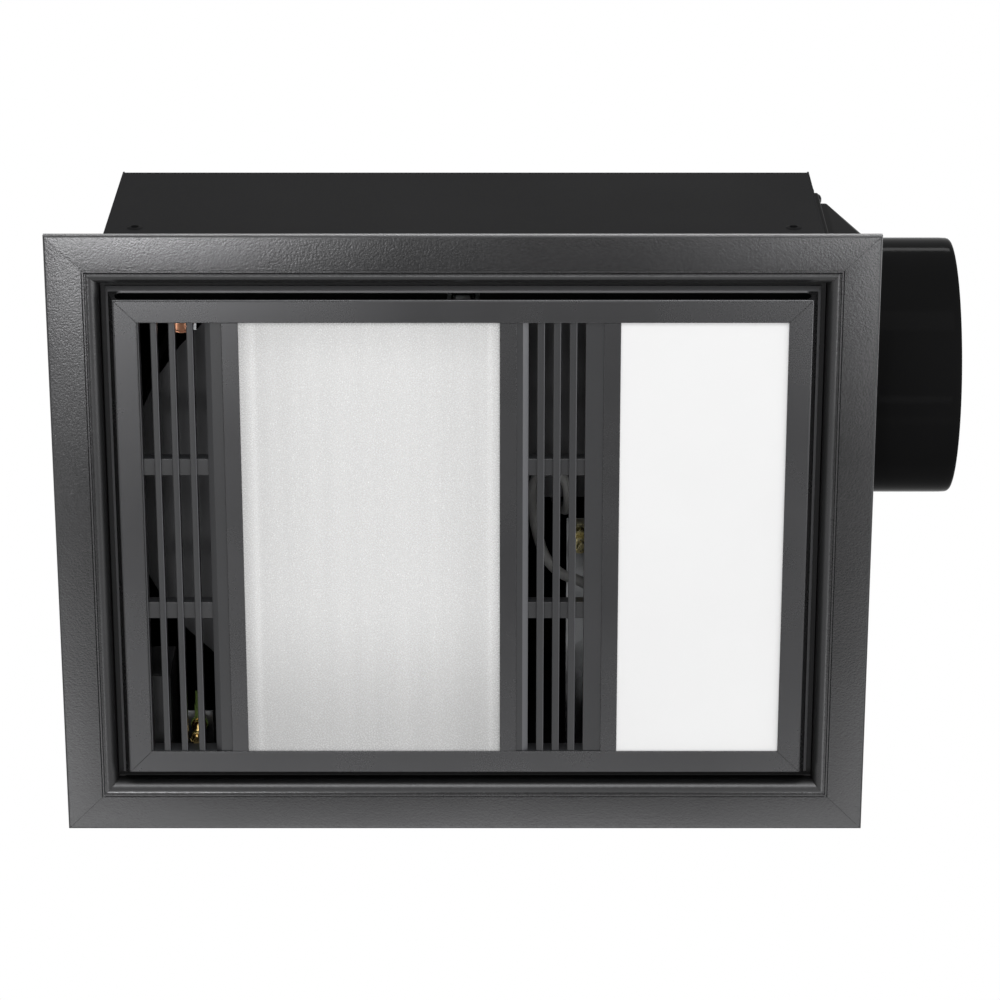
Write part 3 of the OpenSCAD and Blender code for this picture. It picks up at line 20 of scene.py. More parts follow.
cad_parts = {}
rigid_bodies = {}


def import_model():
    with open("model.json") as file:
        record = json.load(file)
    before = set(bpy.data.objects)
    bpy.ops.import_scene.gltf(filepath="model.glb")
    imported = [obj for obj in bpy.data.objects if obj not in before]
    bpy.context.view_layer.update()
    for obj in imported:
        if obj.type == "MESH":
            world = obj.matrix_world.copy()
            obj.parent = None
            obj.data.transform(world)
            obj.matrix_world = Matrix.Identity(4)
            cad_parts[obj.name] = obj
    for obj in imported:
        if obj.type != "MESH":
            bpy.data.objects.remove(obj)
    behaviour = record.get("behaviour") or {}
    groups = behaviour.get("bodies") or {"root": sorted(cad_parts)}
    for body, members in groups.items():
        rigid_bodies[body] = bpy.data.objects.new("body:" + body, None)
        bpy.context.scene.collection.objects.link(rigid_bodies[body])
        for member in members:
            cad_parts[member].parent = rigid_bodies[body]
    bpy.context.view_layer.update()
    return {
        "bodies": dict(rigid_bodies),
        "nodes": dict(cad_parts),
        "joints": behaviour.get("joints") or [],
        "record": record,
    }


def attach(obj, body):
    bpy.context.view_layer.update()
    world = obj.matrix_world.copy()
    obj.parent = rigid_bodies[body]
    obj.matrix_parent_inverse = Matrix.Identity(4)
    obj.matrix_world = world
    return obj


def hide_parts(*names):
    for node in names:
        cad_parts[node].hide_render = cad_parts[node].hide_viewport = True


LOG = logging.getLogger("ceiling_unit")
MM = 0.001
PHOTO_SIDE = 1000
FOCAL_PIXELS = 3845.0
SENSOR_WIDTH = 36.0
WELD = 1e-4
CAD_WELD = 2e-6
CAD_FLAT = 0.6
EASE_SHARE = 0.3
END_SHARE = 0.6
ROUND_STEPS = 2
CUT_EASE = 0.25
CUT_ANGLE = 50.0

Pair = tuple[float, float]
Corner = tuple[float, float, float]
Point = Sequence[float]
Colour = tuple[float, float, float]
Seat = tuple[Point, Point]

BLOWER_AXIS: Pair = (-60.0, 11.7)
FASCIA_SCREW: Pair = (191.5, 95.0)
ENDS = (-1, 1)
FOUR = tuple((a, b) for a in ENDS for b in ENDS)


class Slot(StrEnum):
    """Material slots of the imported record, whose names there are the same in small letters."""

    HOUSING_COAT = auto()
    FASCIA_COAT = auto()
    PANEL_COAT = auto()
    GRILLE_PLASTIC = auto()
    ADAPTOR_PLASTIC = auto()
    GALVANISED = auto()
    ZINC_SCREWS = auto()
    MOTOR_METAL = auto()
    BRASS_PARTS = auto()
    POLISHED_ALUMINIUM = auto()
    SHIELD_STEEL = auto()
    QUARTZ = auto()
    CERAMIC_CAPS = auto()
    HEATING_WIRE = auto()
    COPPER_CAP = auto()
    TERMINAL_PLASTIC = auto()
    BLOCK_PLASTIC = auto()
    GROMMET_RUBBER = auto()
    EARTH_SLEEVE = auto()
    PLATED_BOLT = auto()
    CAPACITOR_CASE = auto()
    DRIVER_CASE = auto()
    LEAD_SHEATH = auto()
    FROSTED_GLASS = auto()
    OPAL_DIFFUSER = auto()
    TRAY_METAL = auto()
    BOARD_WHITE = auto()
    CHIP_YELLOW = auto()
    SPRING_STEEL = auto()
    IMPELLER_PLASTIC = auto()
    SHAFT_STEEL = auto()
    FLAP_PLASTIC = auto()


class Axis(Enum):
    """Directions that a shape can be pushed or turned along."""

    X = 0
    Y = 1
    Z = 2


def rounded(corners: Sequence[Corner], steps: int = 4) -> list[Pair]:
    """Fillets the corners of an outline.

    Args:
        corners: the outline's corners, each with its fillet's radius, or 0 for a sharp one.
        steps: how many chords make one fillet.

    Returns:
        The outline's points.
    """
    points: list[Pair] = []
    count = len(corners)
    for i, (a, b, radius) in enumerate(corners):
        here = Vector((a, b))
        if radius <= 0:
            points.append((a, b))
            continue
        back = (Vector(corners[i - 1][:2]) - here).normalized()
        ahead = (Vector(corners[(i + 1) % count][:2]) - here).normalized()
        half = back.angle(ahead) / 2
        centre = here + (back + ahead).normalized() * (radius / math.sin(half))
        first = here + back * (radius / math.tan(half)) - centre
        last = here + ahead * (radius / math.tan(half)) - centre
        start = math.atan2(first.y, first.x)
        turn = math.remainder(math.atan2(last.y, last.x) - start, math.tau)
        for k in range(steps + 1):
            angle = start + turn * k / steps
            points.append((centre.x + radius * math.cos(angle), centre.y + radius * math.sin(angle)))
    return points


def arc(centre: Pair, radius: float, start: float, end: float, steps: int) -> list[Pair]:
    """Points of an arc from start to end, in degrees."""
    angles = [math.radians(start + (end - start) * k / steps) for k in range(steps + 1)]
    return [(centre[0] + radius * math.cos(t), centre[1] + radius * math.sin(t)) for t in angles]


def rounded_plate(width: float, depth: float, radius: float, steps: int = 24) -> list[Pair]:
    """Outline of a plate with rounded corners, with as many points for each quarter turn.

    Args:
        width: size along the first direction.
        depth: size along the second direction.
        radius: radius of the corners. Where it is half of both sizes, the plate is a disc.
        steps: how many chords make one corner.

    Returns:
        The outline, in which points of equal number face the same way on every plate and disc.
    """
    points: list[Pair] = []
    for k, (sa, sb) in enumerate(((1, 1), (-1, 1), (-1, -1), (1, -1))):
        centre = (sa * (width / 2 - radius), sb * (depth / 2 - radius))
        points += arc(centre, radius, 90 * k, 90 * k + 90, steps)
    return points


def inset(outline: Sequence[Pair], amount: float) -> list[Pair]:
    """Moves an outline inwards.

    Args:
        outline: the closed outline's points.
        amount: how far each side moves.

    Returns:
        The moved outline, with as many points.
    """
    count = len(outline)
    pairs = zip(outline, list(outline[1:]) + [outline[0]])
    side = 1.0 if sum(p[0] * q[1] - q[0] * p[1] for p, q in pairs) > 0 else -1.0
    moved: list[Pair] = []
    for i in range(count):
        here = Vector(outline[i])
        into = (here - Vector(outline[i - 1])).normalized()
        away = (Vector(outline[(i + 1) % count]) - here).normalized()
        first = Vector((-into.y, into.x)) * side
        second = Vector((-away.y, away.x)) * side
        middle = (first + second).normalized() if (first + second).length > 1e-6 else first
        place = here + middle * (amount / max(middle.dot(first), 0.4))
        moved.append((place.x, place.y))
    return moved


def put(pair: Pair, along: float, axis: Axis) -> Vector:
    """Places a point of an outline at a distance along an axis."""
    return Vector((*pair[:axis.value], along, *pair[axis.value:]))


class Shape:
    """Faces of a piece while it is being made, in millimetres."""

    def __init__(self) -> None:
        """Starts with nothing."""
        self.bm = bmesh.new()

    def take(self, other: bmesh.types.BMesh) -> "Shape":
        """Adds the faces of another mesh under construction and frees it.

        Args:
            other: the mesh under construction.

        Returns:
            This shape.
        """
        bmesh.ops.recalc_face_normals(other, faces=other.faces[:])
        held = bpy.data.meshes.new("held")
        other.to_mesh(held)
        other.free()
        self.bm.from_mesh(held)
        bpy.data.meshes.remove(held)
        return self

    def loft(self, rings: Sequence[Sequence[Vector]], closed: bool = False) -> "Shape":
        """Joins rings of as many points each, and caps both ends unless the rings close up.

        Args:
            rings: the rings, in order.
            closed: whether the last ring joins the first.

        Returns:
            The shape itself.
        """
        other = bmesh.new()
        made = [[other.verts.new(p) for p in ring] for ring in rings]
        count = len(made[0])
        pairs = list(zip(made, made[1:])) + ([(made[-1], made[0])] if closed else [])
        for one, two in pairs:
            for i in range(count):
                j = (i + 1) % count
                other.faces.new((one[i], one[j], two[j], two[i]))
        if not closed:
            other.faces.new(made[0][::-1])
            other.faces.new(made[-1])
        bmesh.ops.remove_doubles(other, verts=other.verts[:], dist=WELD)
        return self.take(other)

    def prism(self, outline: Sequence[Pair], low: float, high: float, axis: Axis,
              soft: float = 0.0) -> "Shape":
        """Pushes an outline along an axis, with both ends eased over.

        Args:
            outline: the closed outline, in the axis's plane.
            low: where it starts along the axis.
            high: where it ends.
            axis: the axis.
            soft: width of the eased edge at each end.

        Returns:
            The shape itself.
        """
        if soft <= 0:
            return self.loft([[put(p, t, axis) for p in outline] for t in (low, high)])
        small = inset(outline, soft)
        part = soft * EASE_SHARE
        steps = [(small, low), (inset(outline, part), low + part), (outline, low + soft)]
        steps += [(outline, high - soft), (inset(outline, part), high - part), (small, high)]
        return self.loft([[put(p, t, axis) for p in ring] for ring, t in steps])

    def block(self, low: Point, high: Point, soft: float = 0.3) -> "Shape":
        """Adds a box between two corners, with its edges rounded by soft.

        Args:
            low: the lowest corner.
            high: the highest corner.
            soft: radius of the rounded edges.

        Returns:
            This shape.
        """
        other = bmesh.new()
        bmesh.ops.create_cube(other, size=1.0)
        span = Vector(high) - Vector(low)
        bmesh.ops.scale(other, vec=span, verts=other.verts[:])
        bmesh.ops.translate(other, vec=(Vector(high) + Vector(low)) / 2, verts=other.verts[:])
        if soft > 0:
            bmesh.ops.bevel(other, geom=other.edges[:], offset=soft, segments=2, profile=0.5,
                            affect="EDGES", clamp_overlap=True)
        return self.take(other)

    def lathe(self, profile: Sequence[Pair], centre: Point, axis: Axis, steps: int = 48) -> "Shape":
        """Turns a closed profile about an axis.

        Args:
            profile: pairs of radius and distance along the axis, from the centre.
            centre: where the axis passes.
            axis: the axis.
            steps: how many steps make the whole turn.

        Returns:
            The shape itself.
        """
        middle = Vector(centre)
        rings = []
        for k in range(steps):
            angle = math.tau * k / steps
            c, s = math.cos(angle), math.sin(angle)
            rings.append([middle + put((r * c, r * s), t, axis) for r, t in profile])
        return self.loft(rings, closed=True)

    def tube(self, path: Sequence[Point], radius: float, sides: int = 12) -> "Shape":
        """Runs a round bar along a path, without twist.

        Args:
            path: the points of its middle line.
            radius: its radius.
            sides: how many flats make it round.

        Returns:
            The shape itself.
        """
        line = [Vector(p) for p in path]
        rings = []
        across: Optional[Vector] = None
        for i, here in enumerate(line):
            along = (line[min(i + 1, len(line) - 1)] - line[max(i - 1, 0)]).normalized()
            if across is None:
                across = along.orthogonal()
            across = (across - along * across.dot(along)).normalized()
            third = along.cross(across)
            angles = [math.tau * k / sides for k in range(sides)]
            rings.append([here + (across * math.cos(t) + third * math.sin(t)) * radius for t in angles])
        return self.loft(rings)

    def mesh(self, name: str) -> Mesh:
        """Writes the shape as a mesh in metres.

        Args:
            name: the mesh's name.

        Returns:
            The mesh, with its faces outwards.
        """
        bmesh.ops.scale(self.bm, vec=(MM, MM, MM), verts=self.bm.verts[:])
        made = bpy.data.meshes.new(name)
        self.bm.to_mesh(made)
        self.bm.free()
        return made


def hosted(data: bpy.types.ID, name: str) -> bpy.types.Object:
    """Links a new object that holds a mesh, a lamp or a camera.

    Args:
        data: what the object holds.
        name: the object's name.

    Returns:
        The object.
    """
    host = bpy.data.objects.new(name, data)
    bpy.context.scene.collection.objects.link(host)
    return host


def settled(host: bpy.types.Object, name: str) -> Mesh:
    """Turns an object with modifiers into a plain mesh, and removes the object.

    Args:
        host: the object.
        name: name of the new mesh.

    Returns:
        The mesh.
    """
    bpy.context.view_layer.update()
    graph = bpy.context.evaluated_depsgraph_get()
    made = bpy.data.meshes.new_from_object(host.evaluated_get(graph))
    made.name = name
    bpy.data.objects.remove(host)
    return made


def carved(mesh: Mesh, cutters: Sequence[Mesh]) -> Mesh:
    """Cuts other meshes out of one.

    Args:
        mesh: the mesh that is cut.
        cutters: the meshes that are taken away.

    Returns:
        What is left.
    """
    host = hosted(mesh, "carved")
    tools = [hosted(cutter, "cutter") for cutter in cutters]
    for tool in tools:
        cut = host.modifiers.new("cut", "BOOLEAN")
        cut.operation = "DIFFERENCE"
        cut.solver = "EXACT"
        cut.object = tool
    made = settled(host, mesh.name)
    for tool in tools:
        bpy.data.objects.remove(tool)
    return made


def eased(mesh: Mesh, width: float, angle: float = 40.0) -> Mesh:
    """Rounds the sharp edges of a mesh.

    Args:
        mesh: the mesh.
        width: width of the rounding, in millimetres.
        angle: an edge sharper than this, in degrees, is rounded.

    Returns:
        The rounded mesh.
    """
    host = hosted(mesh, "eased")
    bevel = host.modifiers.new("round", "BEVEL")
    bevel.width = width * MM
    bevel.segments = ROUND_STEPS
    bevel.limit_method = "ANGLE"
    bevel.angle_limit = math.radians(angle)
    bevel.use_clamp_overlap = True
    return settled(host, mesh.name)


class NodeMaker:
    """Adds nodes to a tree and feeds their sockets."""

    def __init__(self, tree: NodeTree) -> None:
        """Works on the given tree."""
        self.tree = tree

    def add(self, kind: str, inputs: Optional[dict[Any, Any]] = None, **settings: Any) -> Node:
        """Adds one node.

        Args:
            kind: the node's type.
            inputs: values or sockets for its inputs, by name or number.
            settings: properties of the node itself.

        Returns:
            The node.
        """
        node = self.tree.nodes.new(kind)
        for key, value in settings.items():
            setattr(node, key, value)
        for key, value in (inputs or {}).items():
            self.feed(node.inputs[key], value)
        return node

    def feed(self, socket: NodeSocket, value: Any) -> None:
        """Links a socket to another one, or sets its value.

        Args:
            socket: an input.
            value: another node's output, or a plain value.
        """
        if isinstance(value, NodeSocket):
            self.tree.links.new(value, socket)
        else:
            socket.default_value = value

    def math(self, operation: str, first: Any, second: Any = 0.0) -> NodeSocket:
        """Result of one sum on two numbers."""
        return self.add("ShaderNodeMath", {0: first, 1: second}, operation=operation).outputs[0]

    def times(self, first: Any, second: Any) -> NodeSocket:
        """Product of two numbers."""
        return self.math("MULTIPLY", first, second)

    def xyz(self, x: Any = 0.0, y: Any = 0.0, z: Any = 0.0) -> NodeSocket:
        """A vector made of three numbers."""
        return self.add("ShaderNodeCombineXYZ", {0: x, 1: y, 2: z}).outputs[0]

    def part(self, vector: NodeSocket, letter: str) -> NodeSocket:
        """One of the three numbers of a vector."""
        return self.add("ShaderNodeSeparateXYZ", {0: vector}).outputs[letter]

    def ramp(self, value: Any, start: Any, stop: Any, low: Any = 0.0, high: Any = 1.0,
             **settings: Any) -> NodeSocket:
        """A number that goes from low to high while a value goes from start to stop."""
        inputs = {"Value": value, 1: start, 2: stop, 3: low, 4: high}
        return self.add("ShaderNodeMapRange", inputs, **settings).outputs[0]

    def between(self, value: Any, low: Any, high: Any) -> NodeSocket:
        """Spreads a value from 0..1 to low..high."""
        return self.ramp(value, 0.0, 1.0, low, high)


class Effect(NodeMaker):
    """A shader node group that several finishes share."""

    VECTORS = ("Vector", "Stretch", "Normal")

    def __init__(self, name: str, inputs: Sequence[str], outputs: Sequence[str]) -> None:
        """Starts a group with its named sockets.

        Args:
            name: the group's name.
            inputs: names of its numbers.
            outputs: names of what it gives.
        """
        super().__init__(bpy.data.node_groups.new(name, "ShaderNodeTree"))
        for way, keys in (("INPUT", inputs), ("OUTPUT", outputs)):
            for key in keys:
                kind = "NodeSocketVector" if key in self.VECTORS else "NodeSocketFloat"
                self.tree.interface.new_socket(key, in_out=way, socket_type=kind)
        self.source = self.tree.nodes.new("NodeGroupInput").outputs
        self.result = self.tree.nodes.new("NodeGroupOutput").inputs

    def texture(self, kind: str, scale: Any, vector: Optional[NodeSocket] = None, **inputs: Any) -> Node:
        """Adds a texture of a kind on the group's own vector or on another one."""
        where = self.source["Vector"] if vector is None else vector
        return self.add("ShaderNodeTex" + kind, {"Vector": where, "Scale": scale, **inputs})

    def give(self, **values: NodeSocket) -> NodeTree:
        """Feeds the group's outputs by name and gives the group.

        Args:
            values: what each output is fed with.

        Returns:
            The group.
        """
        for key, value in values.items():
            self.feed(self.result[key], value)
        return self.tree


@cache
def edge_effect() -> NodeTree:
    """Worked edges: a softened normal, and a broken mask of what is rubbed.

    Returns:
        The shared group.
    """
    fx = Effect("worked_edges", ("Vector", "Width", "Break"), ("Normal", "Mask"))
    soft = fx.add("ShaderNodeBevel", {"Radius": fx.source["Width"]}, samples=4)
    plain = fx.add("ShaderNodeNewGeometry")
    same = fx.add("ShaderNodeVectorMath", {0: soft.outputs[0], 1: plain.outputs["Normal"]},
                  operation="DOT_PRODUCT")
    edge = fx.times(fx.math("SUBTRACT", 1.0, same.outputs["Value"]), 6.0)
    noise = fx.texture("Noise", fx.source["Break"], Detail=3.0)
    patchy = fx.between(noise.outputs["Fac"], -0.6, 1.6)
    mask = fx.add("ShaderNodeMath", {0: edge, 1: patchy}, operation="MULTIPLY", use_clamp=True)
    return fx.give(Normal=soft.outputs[0], Mask=mask.outputs[0])


@cache
def grain_effect() -> NodeTree:
    """The fine skin of a coat or a moulding: its height and a tone.

    Returns:
        The shared group.
    """
    fx = Effect("fine_grain", ("Vector", "Scale"), ("Height", "Tone"))
    noise = fx.texture("Noise", fx.source["Scale"], Detail=2.0, Roughness=0.45)
    cells = fx.texture("Voronoi", fx.source["Scale"])
    cells.feature = "SMOOTH_F1"
    height = fx.math("ADD", fx.times(noise.outputs["Fac"], 0.7), fx.times(cells.outputs["Distance"], 0.4))
    return fx.give(Height=height, Tone=noise.outputs["Fac"])


@cache
def mottle_effect() -> NodeTree:
    """Slow changes over a surface: a factor between two limits.

    Returns:
        The shared group.
    """
    fx = Effect("slow_mottle", ("Vector", "Scale", "Low", "High"), ("Factor",))
    noise = fx.texture("Noise", fx.source["Scale"], Detail=4.0, Roughness=0.55)
    return fx.give(Factor=fx.ramp(noise.outputs["Fac"], 0.3, 0.7, fx.source["Low"], fx.source["High"]))


@cache
def streak_effect() -> NodeTree:
    """Rolling and brushing marks: fine lines along one direction.

    Returns:
        The shared group.
    """
    fx = Effect("drawn_streaks", ("Vector", "Stretch"), ("Streak",))
    pulled = fx.add("ShaderNodeVectorMath", {0: fx.source["Vector"], 1: fx.source["Stretch"]},
                    operation="MULTIPLY")
    noise = fx.texture("Noise", 1.0, pulled.outputs[0], Detail=5.0, Roughness=0.6)
    return fx.give(Streak=noise.outputs["Fac"])


@cache
def spangle_effect() -> NodeTree:
    """Hot-dipped zinc: crystals with their own tone and tilt.

    Returns:
        The shared group.
    """
    fx = Effect("zinc_crystals", ("Vector", "Scale"), ("Tone", "Height"))
    bent = fx.texture("Noise", 90.0)
    moved = fx.add("ShaderNodeVectorMath", {0: bent.outputs["Color"], 1: (0.004, 0.004, 0.004),
                                            2: fx.source["Vector"]}, operation="MULTIPLY_ADD")
    cells = fx.texture("Voronoi", fx.source["Scale"], moved.outputs[0])
    parts = fx.add("ShaderNodeSeparateColor", {"Color": cells.outputs["Color"]})
    return fx.give(Tone=parts.outputs[0], Height=parts.outputs[1])


class Shader(NodeMaker):
    """One material: a Principled shader whose inputs change over the surface."""

    def __init__(self, name: str) -> None:
        """Starts the material with its shader and its object coordinates.

        Args:
            name: the material's name.
        """
        self.material = bpy.data.materials.new(name)
        self.material.use_nodes = True
        super().__init__(self.material.node_tree)
        self.tree.nodes.clear()
        self.bsdf = self.add("ShaderNodeBsdfPrincipled")
        self.add("ShaderNodeOutputMaterial", {"Surface": self.bsdf.outputs[0]})
        self.where = self.add("ShaderNodeTexCoord").outputs["Object"]

    def set(self, **values: Any) -> None:
        """Sets or feeds the shader's own sockets, with _ for a space in the name."""
        for key, value in values.items():
            self.feed(self.bsdf.inputs[key.replace("_", " ")], value)

    def effect(self, group: NodeTree, **values: Any) -> Node:
        """Places a shared group on the object coordinates with its own values.

        Args:
            group: the shared group.
            values: its inputs, by name.

        Returns:
            Its node.
        """
        node = self.add("ShaderNodeGroup", node_tree=group)
        for key, value in {"Vector": self.where, **values}.items():
            self.feed(node.inputs[key], value)
        return node

    def toned(self, colour: Colour, factor: NodeSocket) -> NodeSocket:
        """A colour made lighter or darker by a factor."""
        return self.add("ShaderNodeVectorMath", {0: colour, "Scale": factor}, operation="SCALE").outputs[0]

    def blend(self, factor: Any, first: Any, second: Any) -> NodeSocket:
        """Mixes two colours by a factor.

        Args:
            factor: share of the second colour.
            first: colour where it is 0.
            second: colour where it is 1.

        Returns:
            The mixed colour.
        """
        mix = self.add("ShaderNodeMix", data_type="RGBA")
        for number, value in ((0, factor), (6, first), (7, second)):
            self.feed(mix.inputs[number], (*value, 1.0) if isinstance(value, tuple) else value)
        return mix.outputs[2]

    def rough(self, value: NodeSocket, middle: float, reach: float, least: float = 0.0) -> None:
        """Spreads the roughness by reach to either side of its middle, and not under least."""
        self.set(Roughness=self.between(value, max(middle - reach, least), middle + reach))

    def bump(self, height: NodeSocket, depth: float, normal: Any = None) -> None:
        """Feeds the shader's normal from a height of the given depth in millimetres.

        Args:
            height: a height from 0 to 1.
            depth: how deep 1 is.
            normal: the normal that it is laid on.
        """
        node = self.add("ShaderNodeBump", {"Strength": 1.0, "Distance": depth * MM, "Height": height})
        if normal is not None:
            self.feed(node.inputs["Normal"], normal)
        self.set(Normal=node.outputs[0])


@dataclass(frozen=True)
class Finish:
    """What every finish has: the slot that it dresses, its colour and its roughness."""

    slot: Slot
    colour: Colour
    roughness: float
    edge: float = 0.2
    patches: float = 300.0

    def material(self) -> Material:
        """Gives the finish's material, which is built the first time.

        Returns:
            The material.
        """
        name = self.slot.value + "_finish"
        if bpy.data.materials.get(name) is None:
            shader = Shader(name)
            self.paint(shader)
            shader.material.diffuse_color = (*self.colour, 1.0)
        return bpy.data.materials[name]

    def paint(self, shader: Shader) -> None:
        """Builds the nodes of the material."""
        raise NotImplementedError

    def worn(self, shader: Shader) -> Node:
        """Places the effect of worked edges."""
        return shader.effect(edge_effect(), Width=self.edge * MM, Break=self.patches)

    def lit(self, factor: float, lift: float = 0.0, most: float = 0.95) -> Colour:
        """The colour times a factor and with a lift, up to the most that paint reflects."""
        return tuple(min(c * factor + lift, most) for c in self.colour)


@dataclass(frozen=True)
class Skinned(Finish):
    """A coat or a moulding with a fine skin, slow changes of tone and lighter edges."""

    specular: float = 0.4
    grain: float = 0.5
    grain_depth: float = 0.006
    mottle: float = 0.08
    mottle_scale: float = 14.0
    rubbed: float = 0.3
    light: Corner = (1.5, 0.015, 0.95)

    def skin(self, shader: Shader) -> tuple[NodeSocket, NodeSocket, NodeSocket]:
        """Places the effects of the skin and feeds the normal from them.

        Args:
            shader: the material's shader.

        Returns:
            The coat's colour, the mottle's factor and the grain's tone.
        """
        slow = shader.effect(mottle_effect(), Scale=self.mottle_scale, Low=1 - self.mottle,
                             High=1 + self.mottle).outputs[0]
        fine = shader.effect(grain_effect(), Scale=1 / (self.grain * MM)).outputs
        worn = self.worn(shader).outputs
        mask = shader.times(worn["Mask"], self.rubbed)
        shader.set(Specular_IOR_Level=self.specular)
        shader.bump(fine["Height"], self.grain_depth, worn["Normal"])
        coat = shader.blend(mask, shader.toned(self.colour, slow), self.lit(*self.light))
        return coat, slow, fine["Tone"]


@dataclass(frozen=True)
class PowderCoat(Skinned):
    """Baked powder paint on sheet metal, with orange peel."""

    edge: float = 0.35
    patches: float = 240.0
    metallic: float = 0.0
    specular: float = 0.5
    grain: float = 1.4
    grain_depth: float = 0.02
    mottle: float = 0.06
    mottle_scale: float = 9.0
    rubbed: float = 0.25
    light: Corner = (1.8, 0.02, 0.9)
    spread: float = 0.05
    # painted shade and painted light by height: (low, high, share), the tone going to share times the colour,
    # darker in the fascia's wells and lighter on the panel's skirts
    painted_light_band: Optional[Corner] = None
    deep_metallic: float = 0.88
    deep_rough: float = 0.2
    shoulder: float = 2.0

    def paint(self, shader: Shader) -> None:
        """Builds the coat's nodes, with painted light: between two given heights the tone goes to a given
        share of the colour, which paints shade into the wells where the share is under 1 and paints light on
        a strip where it is over 1.

        Args:
            shader: the material's shader.
        """
        shader.set(Metallic=self.metallic)
        coat, slow, tone = self.skin(shader)
        rough = shader.between(tone, self.roughness - self.spread, self.roughness + self.spread)
        # painted shade and painted light: the coat's colour and metal share change with height, standing in
        # for shade in wells and light on skirts
        if self.painted_light_band:
            z = shader.part(shader.where, "Z")
            low, high, share = self.painted_light_band
            painted_light_band = shader.ramp(z, low * MM, high * MM)
            coat = shader.blend(painted_light_band, coat, self.lit(share))
            rolled = shader.ramp(z, low * MM, (low + self.shoulder) * MM, 0.0, self.deep_rough)
            rough = shader.math("ADD", rough, rolled)
            shader.set(Metallic=shader.between(painted_light_band, self.metallic, self.deep_metallic))
        shader.set(Base_Color=coat, Roughness=shader.times(rough, slow))


@dataclass(frozen=True)
class Moulding(Skinned):
    """Moulded plastic or rubber with faint flow marks."""

    edge: float = 0.3
    coat: float = 0.0
    coat_rough: float = 0.12
    # how many times as light the painted highlight on edges that face +X is; 0 for none
    painted_edge_highlight: float = 0.0
    spread: float = 0.06
    polish: float = 0.03

    def paint(self, shader: Shader) -> None:
        """Builds the moulding's nodes, with a painted highlight on the rounded edges that face +X, a given
        number of times as light.

        Args:
            shader: the material's shader.
        """
        shader.set(Coat_Weight=self.coat, Coat_Roughness=self.coat_rough)
        coat, _, tone = self.skin(shader)
        # painted highlight: faces that tilt towards +X are mixed towards a lighter colour, as if lit from
        # that side
        if self.painted_edge_highlight:
            normal = shader.add("ShaderNodeNewGeometry").outputs["Normal"]
            right = shader.math("MAXIMUM", shader.part(normal, "X"), 0.0)
            tilt = shader.times(right, right)
            along = shader.times(shader.ramp(tilt, 0.04, 0.3), shader.ramp(tilt, 0.95, 0.8))
            coat = shader.blend(along, coat, self.lit(self.painted_edge_highlight))
        shader.set(Base_Color=coat)
        shader.rough(tone, self.roughness, self.spread, self.polish)


@dataclass(frozen=True)
class ZincSheet(Finish):
    """Hot-dipped zinc on steel sheet, with its crystals."""

    patches: float = 200.0
    crystal: float = 9.0
    spread: float = 0.08
    depth: float = 0.01

    def paint(self, shader: Shader) -> None:
        """Builds the sheet's nodes.

        Args:
            shader: the material's shader.
        """
        flakes = shader.effect(spangle_effect(), Scale=1 / (self.crystal * MM))
        worn = self.worn(shader)
        tone = shader.toned(self.colour, shader.between(flakes.outputs["Tone"], 0.8, 1.12))
        shader.set(Metallic=1.0, Base_Color=shader.blend(worn.outputs["Mask"], tone, self.lit(1.4, 0.0, 0.9)))
        shader.rough(flakes.outputs["Height"], self.roughness, self.spread)
        shader.bump(flakes.outputs["Height"], self.depth, worn.outputs["Normal"])


@dataclass(frozen=True)
class DrawnMetal(Finish):
    """Bare or plated metal with fine marks along the way it was drawn or rolled."""

    stretch: Colour = (900.0, 30.0, 900.0)
    tint: Colour = (0.3, 0.3, 0.3)
    tinted: float = 0.15
    stains: float = 60.0
    marks: float = 0.004
    spread: float = 0.08
    polish: float = 0.04
    black_from: Optional[float] = None
    black: Colour = (0.015, 0.015, 0.016)

    def paint(self, shader: Shader) -> None:
        """Builds the metal's nodes, blackened beyond the x black_from where one is given.

        Args:
            shader: the material's shader.
        """
        lines = shader.effect(streak_effect(), Stretch=self.stretch).outputs[0]
        slow = shader.effect(mottle_effect(), Scale=self.stains, Low=0.0, High=self.tinted)
        worn = self.worn(shader)
        tone = shader.toned(self.colour, shader.between(lines, 0.85, 1.12))
        stained = shader.blend(slow.outputs[0], tone, self.tint)
        coat = shader.blend(worn.outputs["Mask"], stained, self.lit(1.3))
        if self.black_from is not None:
            beyond = shader.math("GREATER_THAN", shader.part(shader.where, "X"), self.black_from * MM)
            coat = shader.blend(beyond, coat, self.black)
        shader.set(Metallic=1.0, Base_Color=coat)
        shader.rough(lines, self.roughness, self.spread, self.polish)
        shader.bump(lines, self.marks, worn.outputs["Normal"])


